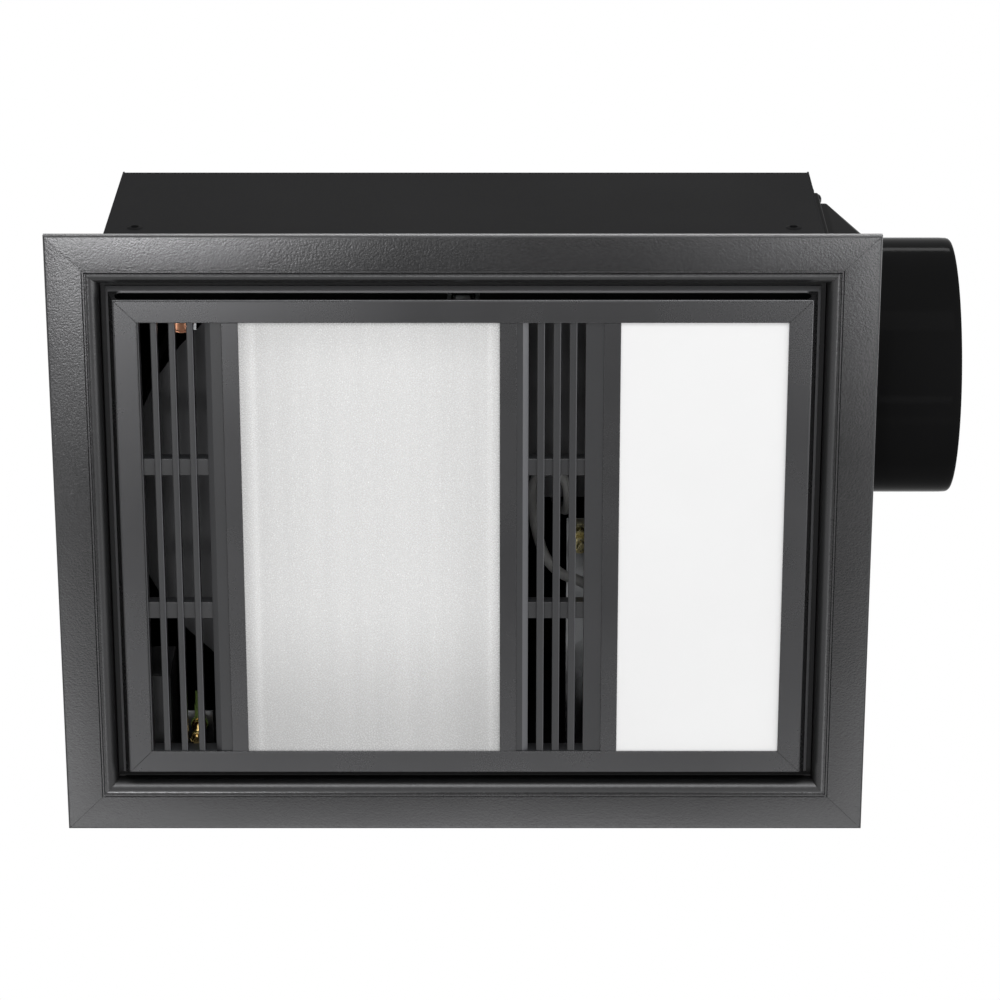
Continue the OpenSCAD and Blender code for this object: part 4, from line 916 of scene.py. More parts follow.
@dataclass(frozen=True)
class FrostedGlass(Finish):
    """Toughened glass, etched behind, with painted light: its colour is brightest in front of the heater's
    trough, with painted highlight lines over the reflector's edges and painted shade towards its sides and
    ends.
    """

    clear: float = 0.24
    index: float = 1.45
    specular: float = 0.3
    grain: float = 1100.0
    depth: float = 0.0012
    spread: float = 0.05
    stretch: Colour = (70.0, 1.6, 2.0)
    middle: float = -51.0
    # painted light: the glass's colour fades with distance from the trough's middle and along Y, with painted
    # highlight lines at the rim
    trough: Corner = (25.0, 60.0, 0.93)
    rim: Corner = (65.8, 2.6, 1.1)
    border: Corner = (67.5, 72.0, 0.86)
    foot: Corner = (30.0, 128.0, 0.74)
    head: Corner = (-100.0, -130.0, 0.9)

    def paint(self, shader: Shader) -> None:
        """Builds the glass's nodes, whose colour carries painted light: each triple holds where a fade of
        painted shade starts, where it ends and its share, but rim holds the place, half width and share of
        the painted highlight lines.

        Args:
            shader: the material's shader.
        """
        fine = shader.effect(grain_effect(), Scale=self.grain)
        drawn = shader.effect(streak_effect(), Stretch=self.stretch)
        x, y = (shader.part(shader.where, letter) for letter in "XY")
        away = shader.math("ABSOLUTE", shader.math("SUBTRACT", x, self.middle * MM))
        tone = shader.between(drawn.outputs[0], 0.9, 1.1)
        # painted highlight lines over the reflector's edges, and painted shade towards the sides and ends
        at, half, share = self.rim
        off = shader.math("ABSOLUTE", shader.math("SUBTRACT", away, at * MM))
        fades = [(value, start, stop, 1.0, last) for value, (start, stop, last) in (
            (away, self.trough), (away, self.border), (y, self.foot), (y, self.head))]
        for value, start, stop, first, last in (*fades, (off, 0.0, half, share, 1.0)):
            tone = shader.times(tone, shader.ramp(value, start * MM, stop * MM, first, last,
                                                  interpolation_type="SMOOTHSTEP"))
        tone = shader.times(tone, shader.between(fine.outputs["Tone"], 0.96, 1.04))
        shader.set(Transmission_Weight=self.clear, IOR=self.index, Specular_IOR_Level=self.specular,
                   Base_Color=shader.toned(self.colour, shader.math("MINIMUM", tone, 1.0)))
        shader.rough(fine.outputs["Tone"], self.roughness, self.spread)
        shader.bump(fine.outputs["Height"], self.depth)


@dataclass(frozen=True)
class ClearTube(Finish):
    """Clear fused quartz with drawn lines along the tube."""

    index: float = 1.46
    stretch: Colour = (2500.0, 12.0, 2500.0)
    spread: float = 0.08
    marks: float = 0.002

    def paint(self, shader: Shader) -> None:
        """Builds the quartz's nodes.

        Args:
            shader: the material's shader.
        """
        lines = shader.effect(streak_effect(), Stretch=self.stretch).outputs[0]
        tone = shader.toned(self.colour, shader.between(lines, 0.94, 1.0))
        shader.set(Transmission_Weight=1.0, IOR=self.index, Base_Color=tone,
                   Roughness=shader.between(lines, self.roughness, self.roughness + self.spread))
        shader.bump(lines, self.marks)


FINISHES: tuple[Finish, ...] = (
    PowderCoat(Slot.HOUSING_COAT, (0.0135, 0.0135, 0.014), 0.6, specular=0.008, grain=0.9, grain_depth=0.008,
               rubbed=0.12),
    # fascia: painted shade, its colour falling to 0.2 times in the wells
    PowderCoat(Slot.FASCIA_COAT, (0.088, 0.088, 0.09), 0.22, metallic=0.88, grain=1.1, grain_depth=0.056,
               rubbed=0.06, edge=0.1, painted_light_band=(-3.6, 6.0, 0.2)),
    # panel: painted light, its colour 2.4 times as light and far less metallic on the upper skirts
    PowderCoat(Slot.PANEL_COAT, (0.084, 0.084, 0.087), 0.27, metallic=0.86, grain_depth=0.002,
               rubbed=0.06, spread=0.01, edge=0.1, painted_light_band=(1.5, 2.5, 2.4), deep_metallic=0.1),
    # grille: painted highlight on the slats' edges that face +X
    Moulding(Slot.GRILLE_PLASTIC, (0.034, 0.0345, 0.037), 0.3, specular=0.5, painted_edge_highlight=3.6),
    Moulding(Slot.ADAPTOR_PLASTIC, (0.008, 0.008, 0.0082), 0.1, specular=0.003, grain=2.5,
             grain_depth=0.003),
    ZincSheet(Slot.GALVANISED, (0.42, 0.43, 0.44), 0.38),
    DrawnMetal(Slot.ZINC_SCREWS, (0.55, 0.55, 0.56), 0.3, stretch=(700.0, 700.0, 90.0),
               black_from=208.5),
    DrawnMetal(Slot.MOTOR_METAL, (0.45, 0.45, 0.46), 0.35, stretch=(60.0, 60.0, 1600.0)),
    DrawnMetal(Slot.BRASS_PARTS, (0.75, 0.55, 0.22), 0.25, stretch=(900.0, 900.0, 120.0),
               tint=(0.35, 0.2, 0.06), tinted=0.3),
    DrawnMetal(Slot.POLISHED_ALUMINIUM, (0.9, 0.9, 0.91), 0.14, stretch=(500.0, 8.0, 500.0),
               tint=(0.7, 0.7, 0.7)),
    PowderCoat(Slot.SHIELD_STEEL, (0.12, 0.12, 0.125), 0.5, metallic=0.5, specular=0.3),
    ClearTube(Slot.QUARTZ, (0.95, 0.95, 0.96), 0.05),
    Moulding(Slot.CERAMIC_CAPS, (0.85, 0.83, 0.78), 0.6, specular=0.3, grain=0.8, grain_depth=0.02),
    DrawnMetal(Slot.HEATING_WIRE, (0.35, 0.22, 0.15), 0.4, tint=(0.1, 0.07, 0.06), tinted=0.5),
    DrawnMetal(Slot.COPPER_CAP, (0.72, 0.36, 0.22), 0.3, tint=(0.4, 0.16, 0.1), tinted=0.35),
    Moulding(Slot.TERMINAL_PLASTIC, (0.05, 0.05, 0.052), 0.5),
    Moulding(Slot.BLOCK_PLASTIC, (0.72, 0.7, 0.64), 0.45),
    Moulding(Slot.GROMMET_RUBBER, (0.02, 0.02, 0.02), 0.65, specular=0.3, grain=0.7, grain_depth=0.02),
    Moulding(Slot.EARTH_SLEEVE, (0.25, 0.38, 0.1), 0.4),
    DrawnMetal(Slot.PLATED_BOLT, (0.66, 0.56, 0.3), 0.28, stretch=(700.0, 700.0, 90.0),
               tint=(0.4, 0.42, 0.25), tinted=0.4),
    Moulding(Slot.CAPACITOR_CASE, (0.75, 0.75, 0.72), 0.35, coat=0.3),
    Moulding(Slot.DRIVER_CASE, (0.75, 0.75, 0.75), 0.5, grain_depth=0.015),
    Moulding(Slot.LEAD_SHEATH, (0.5, 0.5, 0.49), 0.45, grain=0.8),
    FrostedGlass(Slot.FROSTED_GLASS, (0.99, 0.99, 0.985), 0.27),
    Moulding(Slot.OPAL_DIFFUSER, (0.93, 0.93, 0.93), 0.42, specular=0.25, mottle=0.01, grain_depth=0.004),
    DrawnMetal(Slot.TRAY_METAL, (0.75, 0.75, 0.76), 0.4),
    Moulding(Slot.BOARD_WHITE, (0.85, 0.85, 0.84), 0.4),
    Moulding(Slot.CHIP_YELLOW, (0.85, 0.72, 0.2), 0.3),
    DrawnMetal(Slot.SPRING_STEEL, (0.5, 0.5, 0.51), 0.28, stretch=(400.0, 400.0, 400.0)),
    Moulding(Slot.IMPELLER_PLASTIC, (0.1, 0.1, 0.105), 0.42),
    DrawnMetal(Slot.SHAFT_STEEL, (0.6, 0.6, 0.61), 0.15, stretch=(200.0, 200.0, 1400.0)),
    Moulding(Slot.FLAP_PLASTIC, (0.06, 0.06, 0.062), 0.45),
)
FINISH_OF = {finish.slot: finish for finish in FINISHES}


class Tree(NodeMaker):
    """A Geometry Nodes tree with named sizes that ends in one material."""

    def __init__(self, name: str, slot: Slot, takes_mesh: bool = False) -> None:
        """Starts a tree, which works on a mesh where takes_mesh says so.

        Args:
            name: the tree's name.
            slot: the slot that it is dressed from.
            takes_mesh: whether its first input is a mesh.
        """
        super().__init__(bpy.data.node_groups.new(name, "GeometryNodeTree"))
        self.slot = slot
        for way in ("OUTPUT", "INPUT")[:1 + takes_mesh]:
            self.tree.interface.new_socket("Geometry", in_out=way, socket_type="NodeSocketGeometry")
        self.source = self.tree.nodes.new("NodeGroupInput")
        self.keys: dict[str, tuple[str, float]] = {}

    def sizes(self, *names: str, kind: str = "Float", unit: float = MM) -> list[NodeSocket]:
        """Adds named sizes, given in millimetres unless unit says otherwise, and gives their sockets.

        Args:
            names: the inputs' names.
            kind: their socket type.
            unit: metres in one unit of the input.

        Returns:
            Their sockets, in metres.
        """
        for name in names:
            made = self.tree.interface.new_socket(name, in_out="INPUT", socket_type="NodeSocket" + kind)
            self.keys[name] = (made.identifier, unit)
        return [self.source.outputs[name] for name in names]

    def counts(self, *names: str) -> list[NodeSocket]:
        """Adds named whole numbers and gives their sockets."""
        return self.sizes(*names, kind="Int", unit=1)

    def node(self, kind: str, inputs: Optional[dict[str, Any]] = None, **settings: Any) -> NodeSocket:
        """Adds one geometry node and gives its first output."""
        return self.add("GeometryNode" + kind, inputs, **settings).outputs[0]

    def swept(self, curve: NodeSocket, section: NodeSocket) -> NodeSocket:
        """A bar with closed ends: a section that runs along a curve."""
        return self.node("CurveToMesh", {"Curve": curve, "Profile Curve": section, "Fill Caps": True})

    def lifted(self, form: NodeSocket, height: NodeSocket, share: float = 1.0) -> NodeSocket:
        """A form moved up by a share of a height."""
        rise = height if share == 1.0 else self.times(height, share)
        return self.node("Transform", {"Geometry": form, "Translation": self.xyz(0, 0, rise)})

    def dome(self, steps: int, radius: NodeSocket, height: NodeSocket) -> NodeSocket:
        """A ball with half as many rings as steps, flattened to a height.

        Args:
            steps: sides round the ball.
            radius: its radius.
            height: its height above the middle.

        Returns:
            The form.
        """
        ball = self.node("MeshUVSphere", {"Segments": steps, "Rings": steps // 2, "Radius": radius})
        squash = self.xyz(1, 1, self.math("DIVIDE", height, radius))
        return self.node("Transform", {"Geometry": ball, "Scale": squash})

    def repeated(self, points: NodeSocket, form: NodeSocket, **inputs: NodeSocket) -> NodeSocket:
        """A form set on every point."""
        return self.node("InstanceOnPoints", {"Points": points, "Instance": form, **inputs})

    def seated(self, form: NodeSocket) -> NodeSocket:
        """A form set on each seat, with its Z axis along the seat's direction.

        Args:
            form: what is set there.

        Returns:
            The instances.
        """
        out = self.node("InputNamedAttribute", {"Name": "out"}, data_type="FLOAT_VECTOR")
        turn = self.add("FunctionNodeAlignRotationToVector", {"Vector": out}, axis="Z").outputs[0]
        return self.repeated(self.source.outputs["Geometry"], form, Rotation=turn)

    def gathered(self, node: Node, key: Any, parts: Sequence[NodeSocket]) -> NodeSocket:
        """Feeds several forms to one input of a node and gives its output.

        Args:
            node: the node that takes them.
            key: its input.
            parts: the forms.

        Returns:
            The node's first output.
        """
        for part in parts:
            self.feed(node.inputs[key], part)
        return node.outputs[0]

    def joined(self, *parts: NodeSocket) -> NodeSocket:
        """Several forms as one."""
        return self.gathered(self.add("GeometryNodeJoinGeometry"), 0, parts)

    def less(self, form: NodeSocket, *tools: NodeSocket) -> NodeSocket:
        """A form with others cut out of it."""
        node = self.add("GeometryNodeMeshBoolean", {"Mesh 1": form}, operation="DIFFERENCE", solver="EXACT")
        return self.gathered(node, "Mesh 2", tools)

    def end(self, geometry: NodeSocket) -> "Tree":
        """Closes the tree: everything becomes real geometry with one material.

        Args:
            geometry: the finished form.

        Returns:
            This tree.
        """
        real = self.node("RealizeInstances", {"Geometry": geometry})
        dressed = self.node("SetMaterial", {"Geometry": real, "Material": FINISH_OF[self.slot].material()})
        self.feed(self.tree.nodes.new("NodeGroupOutput").inputs[0], dressed)
        return self

    def baked(self, name: str, sizes: dict[str, float], base: Optional[Mesh] = None) -> Mesh:
        """Runs the tree once.

        Args:
            name: name of the mesh that comes out.
            sizes: a value for each named size.
            base: the mesh that the tree works on, if it takes one.

        Returns:
            The plain mesh.
        """
        host = hosted(base or bpy.data.meshes.new(name + "_seed"), name + "_host")
        modifier = host.modifiers.new("tree", "NODES")
        modifier.node_group = self.tree
        for key, value in sizes.items():
            identifier, unit = self.keys[key]
            modifier[identifier] = value * unit
        return settled(host, name)


class Workshop:
    """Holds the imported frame, and signs off each finished piece."""

    def __init__(self, frame: dict[str, Any]) -> None:
        """Reads which body each node of the frame rides on.
        """
        self.nodes: dict[str, bpy.types.Object] = frame["nodes"]
        bodies = frame["record"]["behaviour"]["bodies"]
        self.body_of = {node: body for body, members in bodies.items() for node in members}
        self.done: set[str] = set()

    def sign(self, name: str, mesh: Mesh, slot: Slot, nodes: Sequence[str], angle: float = 32.0,
             replace: bool = True) -> None:
        """Makes a mesh a piece of the object.

        Args:
            name: the piece's name.
            mesh: its mesh, with its place in it.
            slot: the slot that its finish comes from.
            nodes: the CAD nodes that it stands for, or, where it replaces none, one that it sits on.
            angle: edges sharper than this, in degrees, stay sharp in the shading.
            replace: whether the nodes are hidden.
        """
        mesh.materials.clear()
        mesh.materials.append(FINISH_OF[slot].material())
        mesh.polygons.foreach_set("material_index", [0] * len(mesh.polygons))
        mesh.shade_smooth()
        mesh.set_sharp_from_angle(angle=math.radians(angle))
        host = hosted(mesh, name + "_host")
        host.modifiers.new("even", "WEIGHTED_NORMAL").keep_sharp = True
        made = hosted(settled(host, name), name)
        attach(made, self.body_of[nodes[0]])
        if replace:
            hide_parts(*nodes)
            self.done.update(nodes)
        LOG.info("%s: %d faces", name, len(made.data.polygons))

    def form(self, name: str, shape: Shape, slot: Slot, node: str, **options: Any) -> None:
        """Signs off a piece that is made as a shape."""
        self.sign(name, shape.mesh(name), slot, [node], **options)

    def grow(self, tree: Tree, name: str, sizes: dict[str, float], node: str,
             base: Optional[Mesh] = None, **options: Any) -> None:
        """Signs off a piece that a tree makes."""
        self.sign(name, tree.baked(name, sizes, base), tree.slot, [node], **options)

    def copied(self, node: str) -> Mesh:
        """Copies a CAD node's mesh, joined up and without the lines across its flats.

        Args:
            node: the CAD node's name.

        Returns:
            The cleaned copy.
        """
        mesh = self.nodes[node].data.copy()
        bm = bmesh.new()
        bm.from_mesh(mesh)
        bmesh.ops.remove_doubles(bm, verts=bm.verts[:], dist=CAD_WELD)
        bmesh.ops.dissolve_limit(bm, angle_limit=math.radians(CAD_FLAT), verts=bm.verts[:], edges=bm.edges[:])
        bm.to_mesh(mesh)
        bm.free()
        mesh.name = node + "_copy"
        return mesh

    def refine(self, *plans: tuple[str, Slot, float]) -> None:
        """Replaces CAD nodes with copies, each with its slot and its edges' rounding in millimetres."""
        for node, slot, soft in plans:
            self.sign(node + "_part", eased(self.copied(node), soft), slot, [node])


def drill(radius: float, reach: float) -> list[Pair]:
    """Profile of a round cutter that reaches as far to both sides."""
    return [(0.0, -reach), (radius, -reach), (radius, reach), (0.0, reach)]


@dataclass
class MitredFrame:
    """A rectangular frame of four mitred rails with keys in its corners."""

    shop: Workshop
    prefix: str = ""
    ending: str = ""
    slot: Slot = Slot.PANEL_COAT
    half: Pair = (0.0, 0.0)
    mitre_gap: float = 0.0
    ease: float = 0.0
    angle: float = 0.0

    def build(self) -> None:
        """Makes the four rails and softens the keys."""
        for number, side in enumerate(("right", "rear", "left", "front")):
            node = f"{self.prefix}_rail_{side}"
            half, other = self.half[::(-1) ** number]
            mesh = self.rail(node + self.ending, half, other)
            cutters = self.cuts(half, number % 2 == 1)
            if cutters:
                mesh = eased(carved(mesh, cutters), CUT_EASE, CUT_ANGLE)
            mesh.transform(Matrix.Rotation(math.radians(90 * number), 4, "Z"))
            self.shop.sign(node + self.ending, mesh, self.slot, [node], angle=self.angle)
        self.shop.refine((self.prefix + "_corner_keys", Slot.GALVANISED, 0.2))

    def rail(self, name: str, half: float, other: float) -> Mesh:
        """Sweeps the rail that crosses +X, with both ends mitred and eased over.

        Args:
            name: the mesh's name.
            half: distance of the frame's edge from its middle.
            other: half length of the rail at that edge.

        Returns:
            The rail.
        """
        outline = self.outline()
        thin = inset(outline, self.ease * END_SHARE)
        steps = ((-1, thin, 0.0), (-1, outline, self.ease), (1, outline, self.ease), (1, thin, 0.0))
        rings = [[Vector((half + u, sign * (other + u - self.mitre_gap - back), z)) for u, z in ring]
                 for sign, ring, back in steps]
        return Shape().loft(rings).mesh(name)

    def outline(self) -> list[Pair]:
        """Cross section of a rail, as distances from the frame's edge (inwards negative) and heights."""
        raise NotImplementedError

    def cuts(self, half: float, long: bool) -> list[Mesh]:
        """What is cut out of a rail whose edge is half from the middle, before it is turned."""
        raise NotImplementedError


@dataclass
class Fascia(MitredFrame):
    """Fixed outer frame: four mitred rails rolled from sheet, with corner keys behind."""

    prefix: str = "fascia"
    ending: str = "_rolled"
    slot: Slot = Slot.FASCIA_COAT
    half: Pair = (230.0, 180.0)
    mitre_gap: float = 0.03
    ease: float = 0.05
    angle: float = 24.0
    band: float = 22.0
    front: float = -4.0
    sheet: float = 1.2
    shoulder: float = 7.0
    ledge_z: float = 7.0
    ledge_w: float = 14.0
    groove_w: float = 1.9
    groove_d: float = 0.8
    crown: float = 0.07
    crown_steps: int = 10
    screw_at: Pair = FASCIA_SCREW
    notch: Corner = (128.0, 144.0, 9.0)

    def outline(self) -> list[Pair]:
        """Cross section of a rail: lip, band, groove, rolled shoulder, well and ledge.

        Returns:
            Its points, one way round.
        """
        turn_in = -self.band
        well = turn_in - self.shoulder
        high = self.ledge_z + self.sheet
        centre = (turn_in, self.front + self.shoulder)
        groove = turn_in + self.groove_w
        floor = self.front + self.groove_d
        n = self.crown_steps
        face = [(-1.3 - (self.band - 3.0) * t / n, self.front - self.crown * 4 * t * (n - t) / n ** 2, 0.0)
                for t in range(n + 1)]
        lip = [(0.0, 0.0, 0.3), (0.0, self.front + 0.05, 0.9), *face, (groove + 0.1, self.front, 0.1),
               (groove - 0.5, floor, 0.1), (turn_in + 0.5, floor, 0.1)]
        inner = [(well, self.ledge_z, 0.9), (well - self.ledge_w, self.ledge_z, 0.35),
                 (well - self.ledge_w, high, 0.35), (well + self.sheet, high, 1.6)]
        tail = [(-self.sheet, self.front + self.sheet, 0.5), (-self.sheet, 0.0, 0.3)]
        rolled, back = ([(a, b, 0.0) for a, b in points] for points in (
            arc(centre, self.shoulder, -90, -180, 18), arc(centre, self.shoulder - self.sheet, 180, 270, 14)))
        return rounded([*lip, *rolled, *inner, *back, *tail])

    def cuts(self, half: float, long: bool) -> list[Mesh]:
        """Screw holes of an end rail, or the notch that a spring passes in a long one.

        Args:
            half: distance of the rail's edge from the middle; not used.
            long: whether it is a long rail.

        Returns:
            The cutters.
        """
        if long:
            near, far, wide = self.notch
            low, high = self.ledge_z - 2, self.ledge_z + 4
            return [Shape().block((near, -wide, low), (far, wide, high), 0.8).mesh("notch")]
        x, y = self.screw_at
        return [Shape().lathe(drill(1.95, 3.0), (x, s * y, self.ledge_z), Axis.Z, 24).mesh("screw_hole")
                for s in ENDS]


@dataclass
class PanelFrame(MitredFrame):
    """Moving front frame: mitred rails with sloping skirts, keys and mullions."""

    prefix: str = "panel"
    ending: str = "_folded"
    half: Pair = (198.0, 148.0)
    mitre_gap: float = 0.07
    ease: float = 0.12
    angle: float = 28.0
    foot_z: float = 6.7
    front: float = -5.5
    sheet: float = 1.2
    flare: float = 5.0
    face: float = 13.0
    slot_h: float = 6.6
    slot_run: float = 192.1
    strip_w: float = 9.3
    strip_t: float = 0.7
    web_w: float = 3.3
    strip_at: Corner = (-133.6, 20.3, 78.0)
    strip_half: float = 129.8
    web_half: float = 133.0
    feet: tuple[tuple[str, bool, bool], ...] = (
        ("mullion_left", False, True), ("mullion_middle", True, False), ("mullion_right", False, False))

    def outline(self) -> list[Pair]:
        """Cross section of a rail: flat face with a rounded front edge and a sloping skirt.

        Returns:
            Its points, one way round.
        """
        back = self.front + self.sheet
        edge = -self.flare - self.face
        slope = self.flare / (self.foot_z - self.front)
        bend = -self.flare - self.sheet + slope * self.sheet
        loop = [(edge, back, 0.25), (edge, self.front, 0.5), (-self.flare, self.front, 1.3),
                (0.0, self.foot_z, 0.3), (-self.sheet, self.foot_z, 0.3), (bend, back, 0.4)]
        return rounded(loop, 5)

    def build(self) -> None:
        """Makes the rails, the keys behind them and the mullions."""
        super().build()
        for x, (node, left, right) in zip(self.strip_at, self.feet):
            self.mullion(node, x, left, right)

    def cuts(self, half: float, long: bool) -> list[Mesh]:
        """Cutter for the slot with round ends in the skirt of a long rail, and none for an end rail.

        Args:
            half: distance of the rail's edge from the middle.
            long: whether it is a long rail.

        Returns:
            The cutter, if any.
        """
        if not long:
            return []
        r = self.slot_h / 2
        z = self.front + self.sheet + r
        run = self.slot_run - r
        outline = arc((run, z), r, -90, 90, 12) + arc((-run, z), r, 90, 270, 12)
        return [Shape().prism(outline, half - self.flare - 4, half + 3, Axis.X).mesh("air_slot")]

    def mullion(self, node: str, x: float, foot_left: bool, foot_right: bool) -> None:
        """Makes one mullion.

        Args:
            node: the CAD node that it stands for.
            x: left edge of its face strip.
            foot_left: whether a ledge holds a pane on its left.
            foot_right: whether a ledge holds a pane on its right.
        """
        back = self.front + self.sheet
        end, face = x + self.strip_w, back - self.strip_t
        strip = [(x, back, 0.1), (x, face, 0.3), (end, face, 0.3), (end, back, 0.1)]
        shape = Shape().prism(rounded(strip), -self.strip_half, self.strip_half, Axis.Y)
        web = x + (self.strip_w - self.web_w) / 2
        shape.block((web, -self.web_half, back), (web + self.web_w, self.web_half, self.foot_z), 0.25)
        for wanted, a, b in ((foot_left, web - 4, web + 0.5),
                             (foot_right, web + self.web_w - 0.5, web + 7.3)):
            if wanted:
                shape.block((a, -self.web_half, back + 4), (b, self.web_half, back + 5), 0.25)
        self.shop.form(node + "_strip", shape, Slot.PANEL_COAT, node)


@cache
def louvre_tree() -> Tree:
    """Upright slats of a grille and the bars that cross behind them.

    Returns:
        The tree, which makes everything from its sizes.
    """
    tree = Tree("louvre_slats", Slot.GRILLE_PLASTIC)
    (count,) = tree.counts("Slats")
    pitch, first, width, back_width, front, depth, length = tree.sizes(
        "Pitch", "First Slat", "Slat Width", "Slat Back Width", "Front", "Depth", "Slat Length")
    edge, bar_width, bar_in, bar_place, left, right = tree.sizes(
        "Edge Radius", "Bar Width", "Bar Set Back", "Bar Place", "Left", "Right")

    def bar(start: NodeSocket, end: NodeSocket, section: NodeSocket) -> NodeSocket:
        """A bar between two points whose section has softened corners."""
        soft = tree.node("FilletCurve", {"Curve": section, "Count": 3, "Radius": edge}, mode="POLY")
        return tree.swept(tree.node("CurvePrimitiveLine", {"Start": start, "End": end}), soft)

    half = tree.times(length, 0.5)
    section = tree.add("GeometryNodeCurvePrimitiveQuadrilateral", mode="TRAPEZOID")
    for key, value in (("Top Width", width), ("Bottom Width", back_width), ("Height", depth),
                       ("Offset", 0.0)):
        tree.feed(section.inputs[key], value)
    slat = bar(tree.xyz(0, tree.times(half, -1.0), 0), tree.xyz(0, half, 0), section.outputs[0])
    middle = tree.math("ADD", front, tree.times(depth, 0.5))
    places = tree.node("MeshLine", {"Count": count, "Start Location": tree.xyz(first, 0, middle),
                                    "Offset": tree.xyz(pitch, 0, 0)})
    bar_depth = tree.math("SUBTRACT", depth, bar_in)
    flat = tree.node("CurvePrimitiveQuadrilateral", {"Width": bar_width, "Height": bar_depth})
    across = bar(tree.xyz(left, 0, 0), tree.xyz(right, 0, 0), flat)
    bar_z = tree.math("ADD", front, tree.math("ADD", bar_in, tree.times(bar_depth, 0.5)))
    rows = tree.node("MeshLine", {
        "Count": 2, "Start Location": tree.xyz(0, tree.times(bar_place, -1.0), bar_z),
        "Offset": tree.xyz(0, tree.times(bar_place, 2.0), 0)})
    return tree.end(tree.joined(tree.repeated(places, slat), tree.repeated(rows, across)))


@dataclass
class Grille:
    """One slatted insert of the panel."""

    shop: Workshop
    node: str
    left: float
    right: float
    first_gap: float
    gap: float
    slat: float
    slope_left: bool
    gaps: int = 4
    front: float = -4.3
    back: float = 6.7
    half: float = 130.0
    end: float = 133.0
    slope_w: float = 3.2
    slope_d: float = 2.0
    bar_w: float = 10.0
    bar_at: float = 43.5
    bar_in: float = 3.0
    taper: float = 0.5
    edge_r: float = 0.55
    overlap: Pair = (0.4, 0.2)

    def build(self) -> None:
        """Makes the insert: side and end rails, and the slats and bars from the tree."""
        pitch = self.gap + self.slat
        last = self.first_gap + self.gaps * pitch - self.slat
        over, under = self.overlap
        sizes = {"Slats": self.gaps - 1, "Pitch": pitch,
                 "First Slat": self.first_gap + self.gap + self.slat / 2,
                 "Slat Width": self.slat, "Slat Back Width": self.slat - self.taper, "Front": self.front,
                 "Depth": self.back - self.front, "Slat Length": self.half + self.end,
                 "Edge Radius": self.edge_r, "Bar Width": self.bar_w, "Bar Set Back": self.bar_in,
                 "Bar Place": self.bar_at, "Left": self.first_gap - over, "Right": last + over}
        self.shop.grow(louvre_tree(), self.node + "_slats", sizes, self.node, replace=False)
        shape = Shape()
        for low, high, sloped in ((self.left, self.first_gap, self.slope_left),
                                  (last, self.right, not self.slope_left)):
            shape.prism(self.side(low, high, sloped), -self.end, self.end, Axis.Y)
        for s in ENDS:
            low, high = sorted((s * self.half, s * self.end))
            shape.block((self.first_gap - under, low, self.front), (last + under, high, self.back))
        self.shop.form(self.node + "_rim", shape, Slot.GRILLE_PLASTIC, self.node)

    def side(self, low: float, high: float, sloped: bool) -> list[Pair]:
        """Cross section of a side rail, with its face sloping down to the slats where asked for.

        Args:
            low: the nearer edge.
            high: the farther edge.
            sloped: whether its face slopes.

        Returns:
            Its points, one way round.
        """
        front = [(low, self.front, 0.25), (high, self.front, 0.25)]
        if sloped and self.slope_left:
            front[1:] = [(high - self.slope_w, self.front, 0.3), (high, self.front + self.slope_d, 0.3)]
        elif sloped:
            front[:1] = [(low, self.front + self.slope_d, 0.3), (low + self.slope_w, self.front, 0.3)]
        return rounded([*front, (high, self.back, 0.2), (low, self.back, 0.2)])


@dataclass
class Panes:
    """Frosted glass of the heater and opal sheet of the light."""

    shop: Workshop
    half: float = 133.0
    front: float = -4.3
    sheets: tuple[tuple[str, Slot, Corner], ...] = (
        ("heat_glass", Slot.FROSTED_GLASS, (-127.0, 23.0, 4.0)),
        ("light_diffuser", Slot.OPAL_DIFFUSER, (84.6, 183.0, 3.0)))

    def build(self) -> None:
        """Makes both panes with ground edges."""
        for node, slot, (low, high, thick) in self.sheets:
            shape = Shape().block((low, -self.half, self.front), (high, self.half, self.front + thick), 0.35)
            self.shop.form(node + "_pane", shape, slot, node)


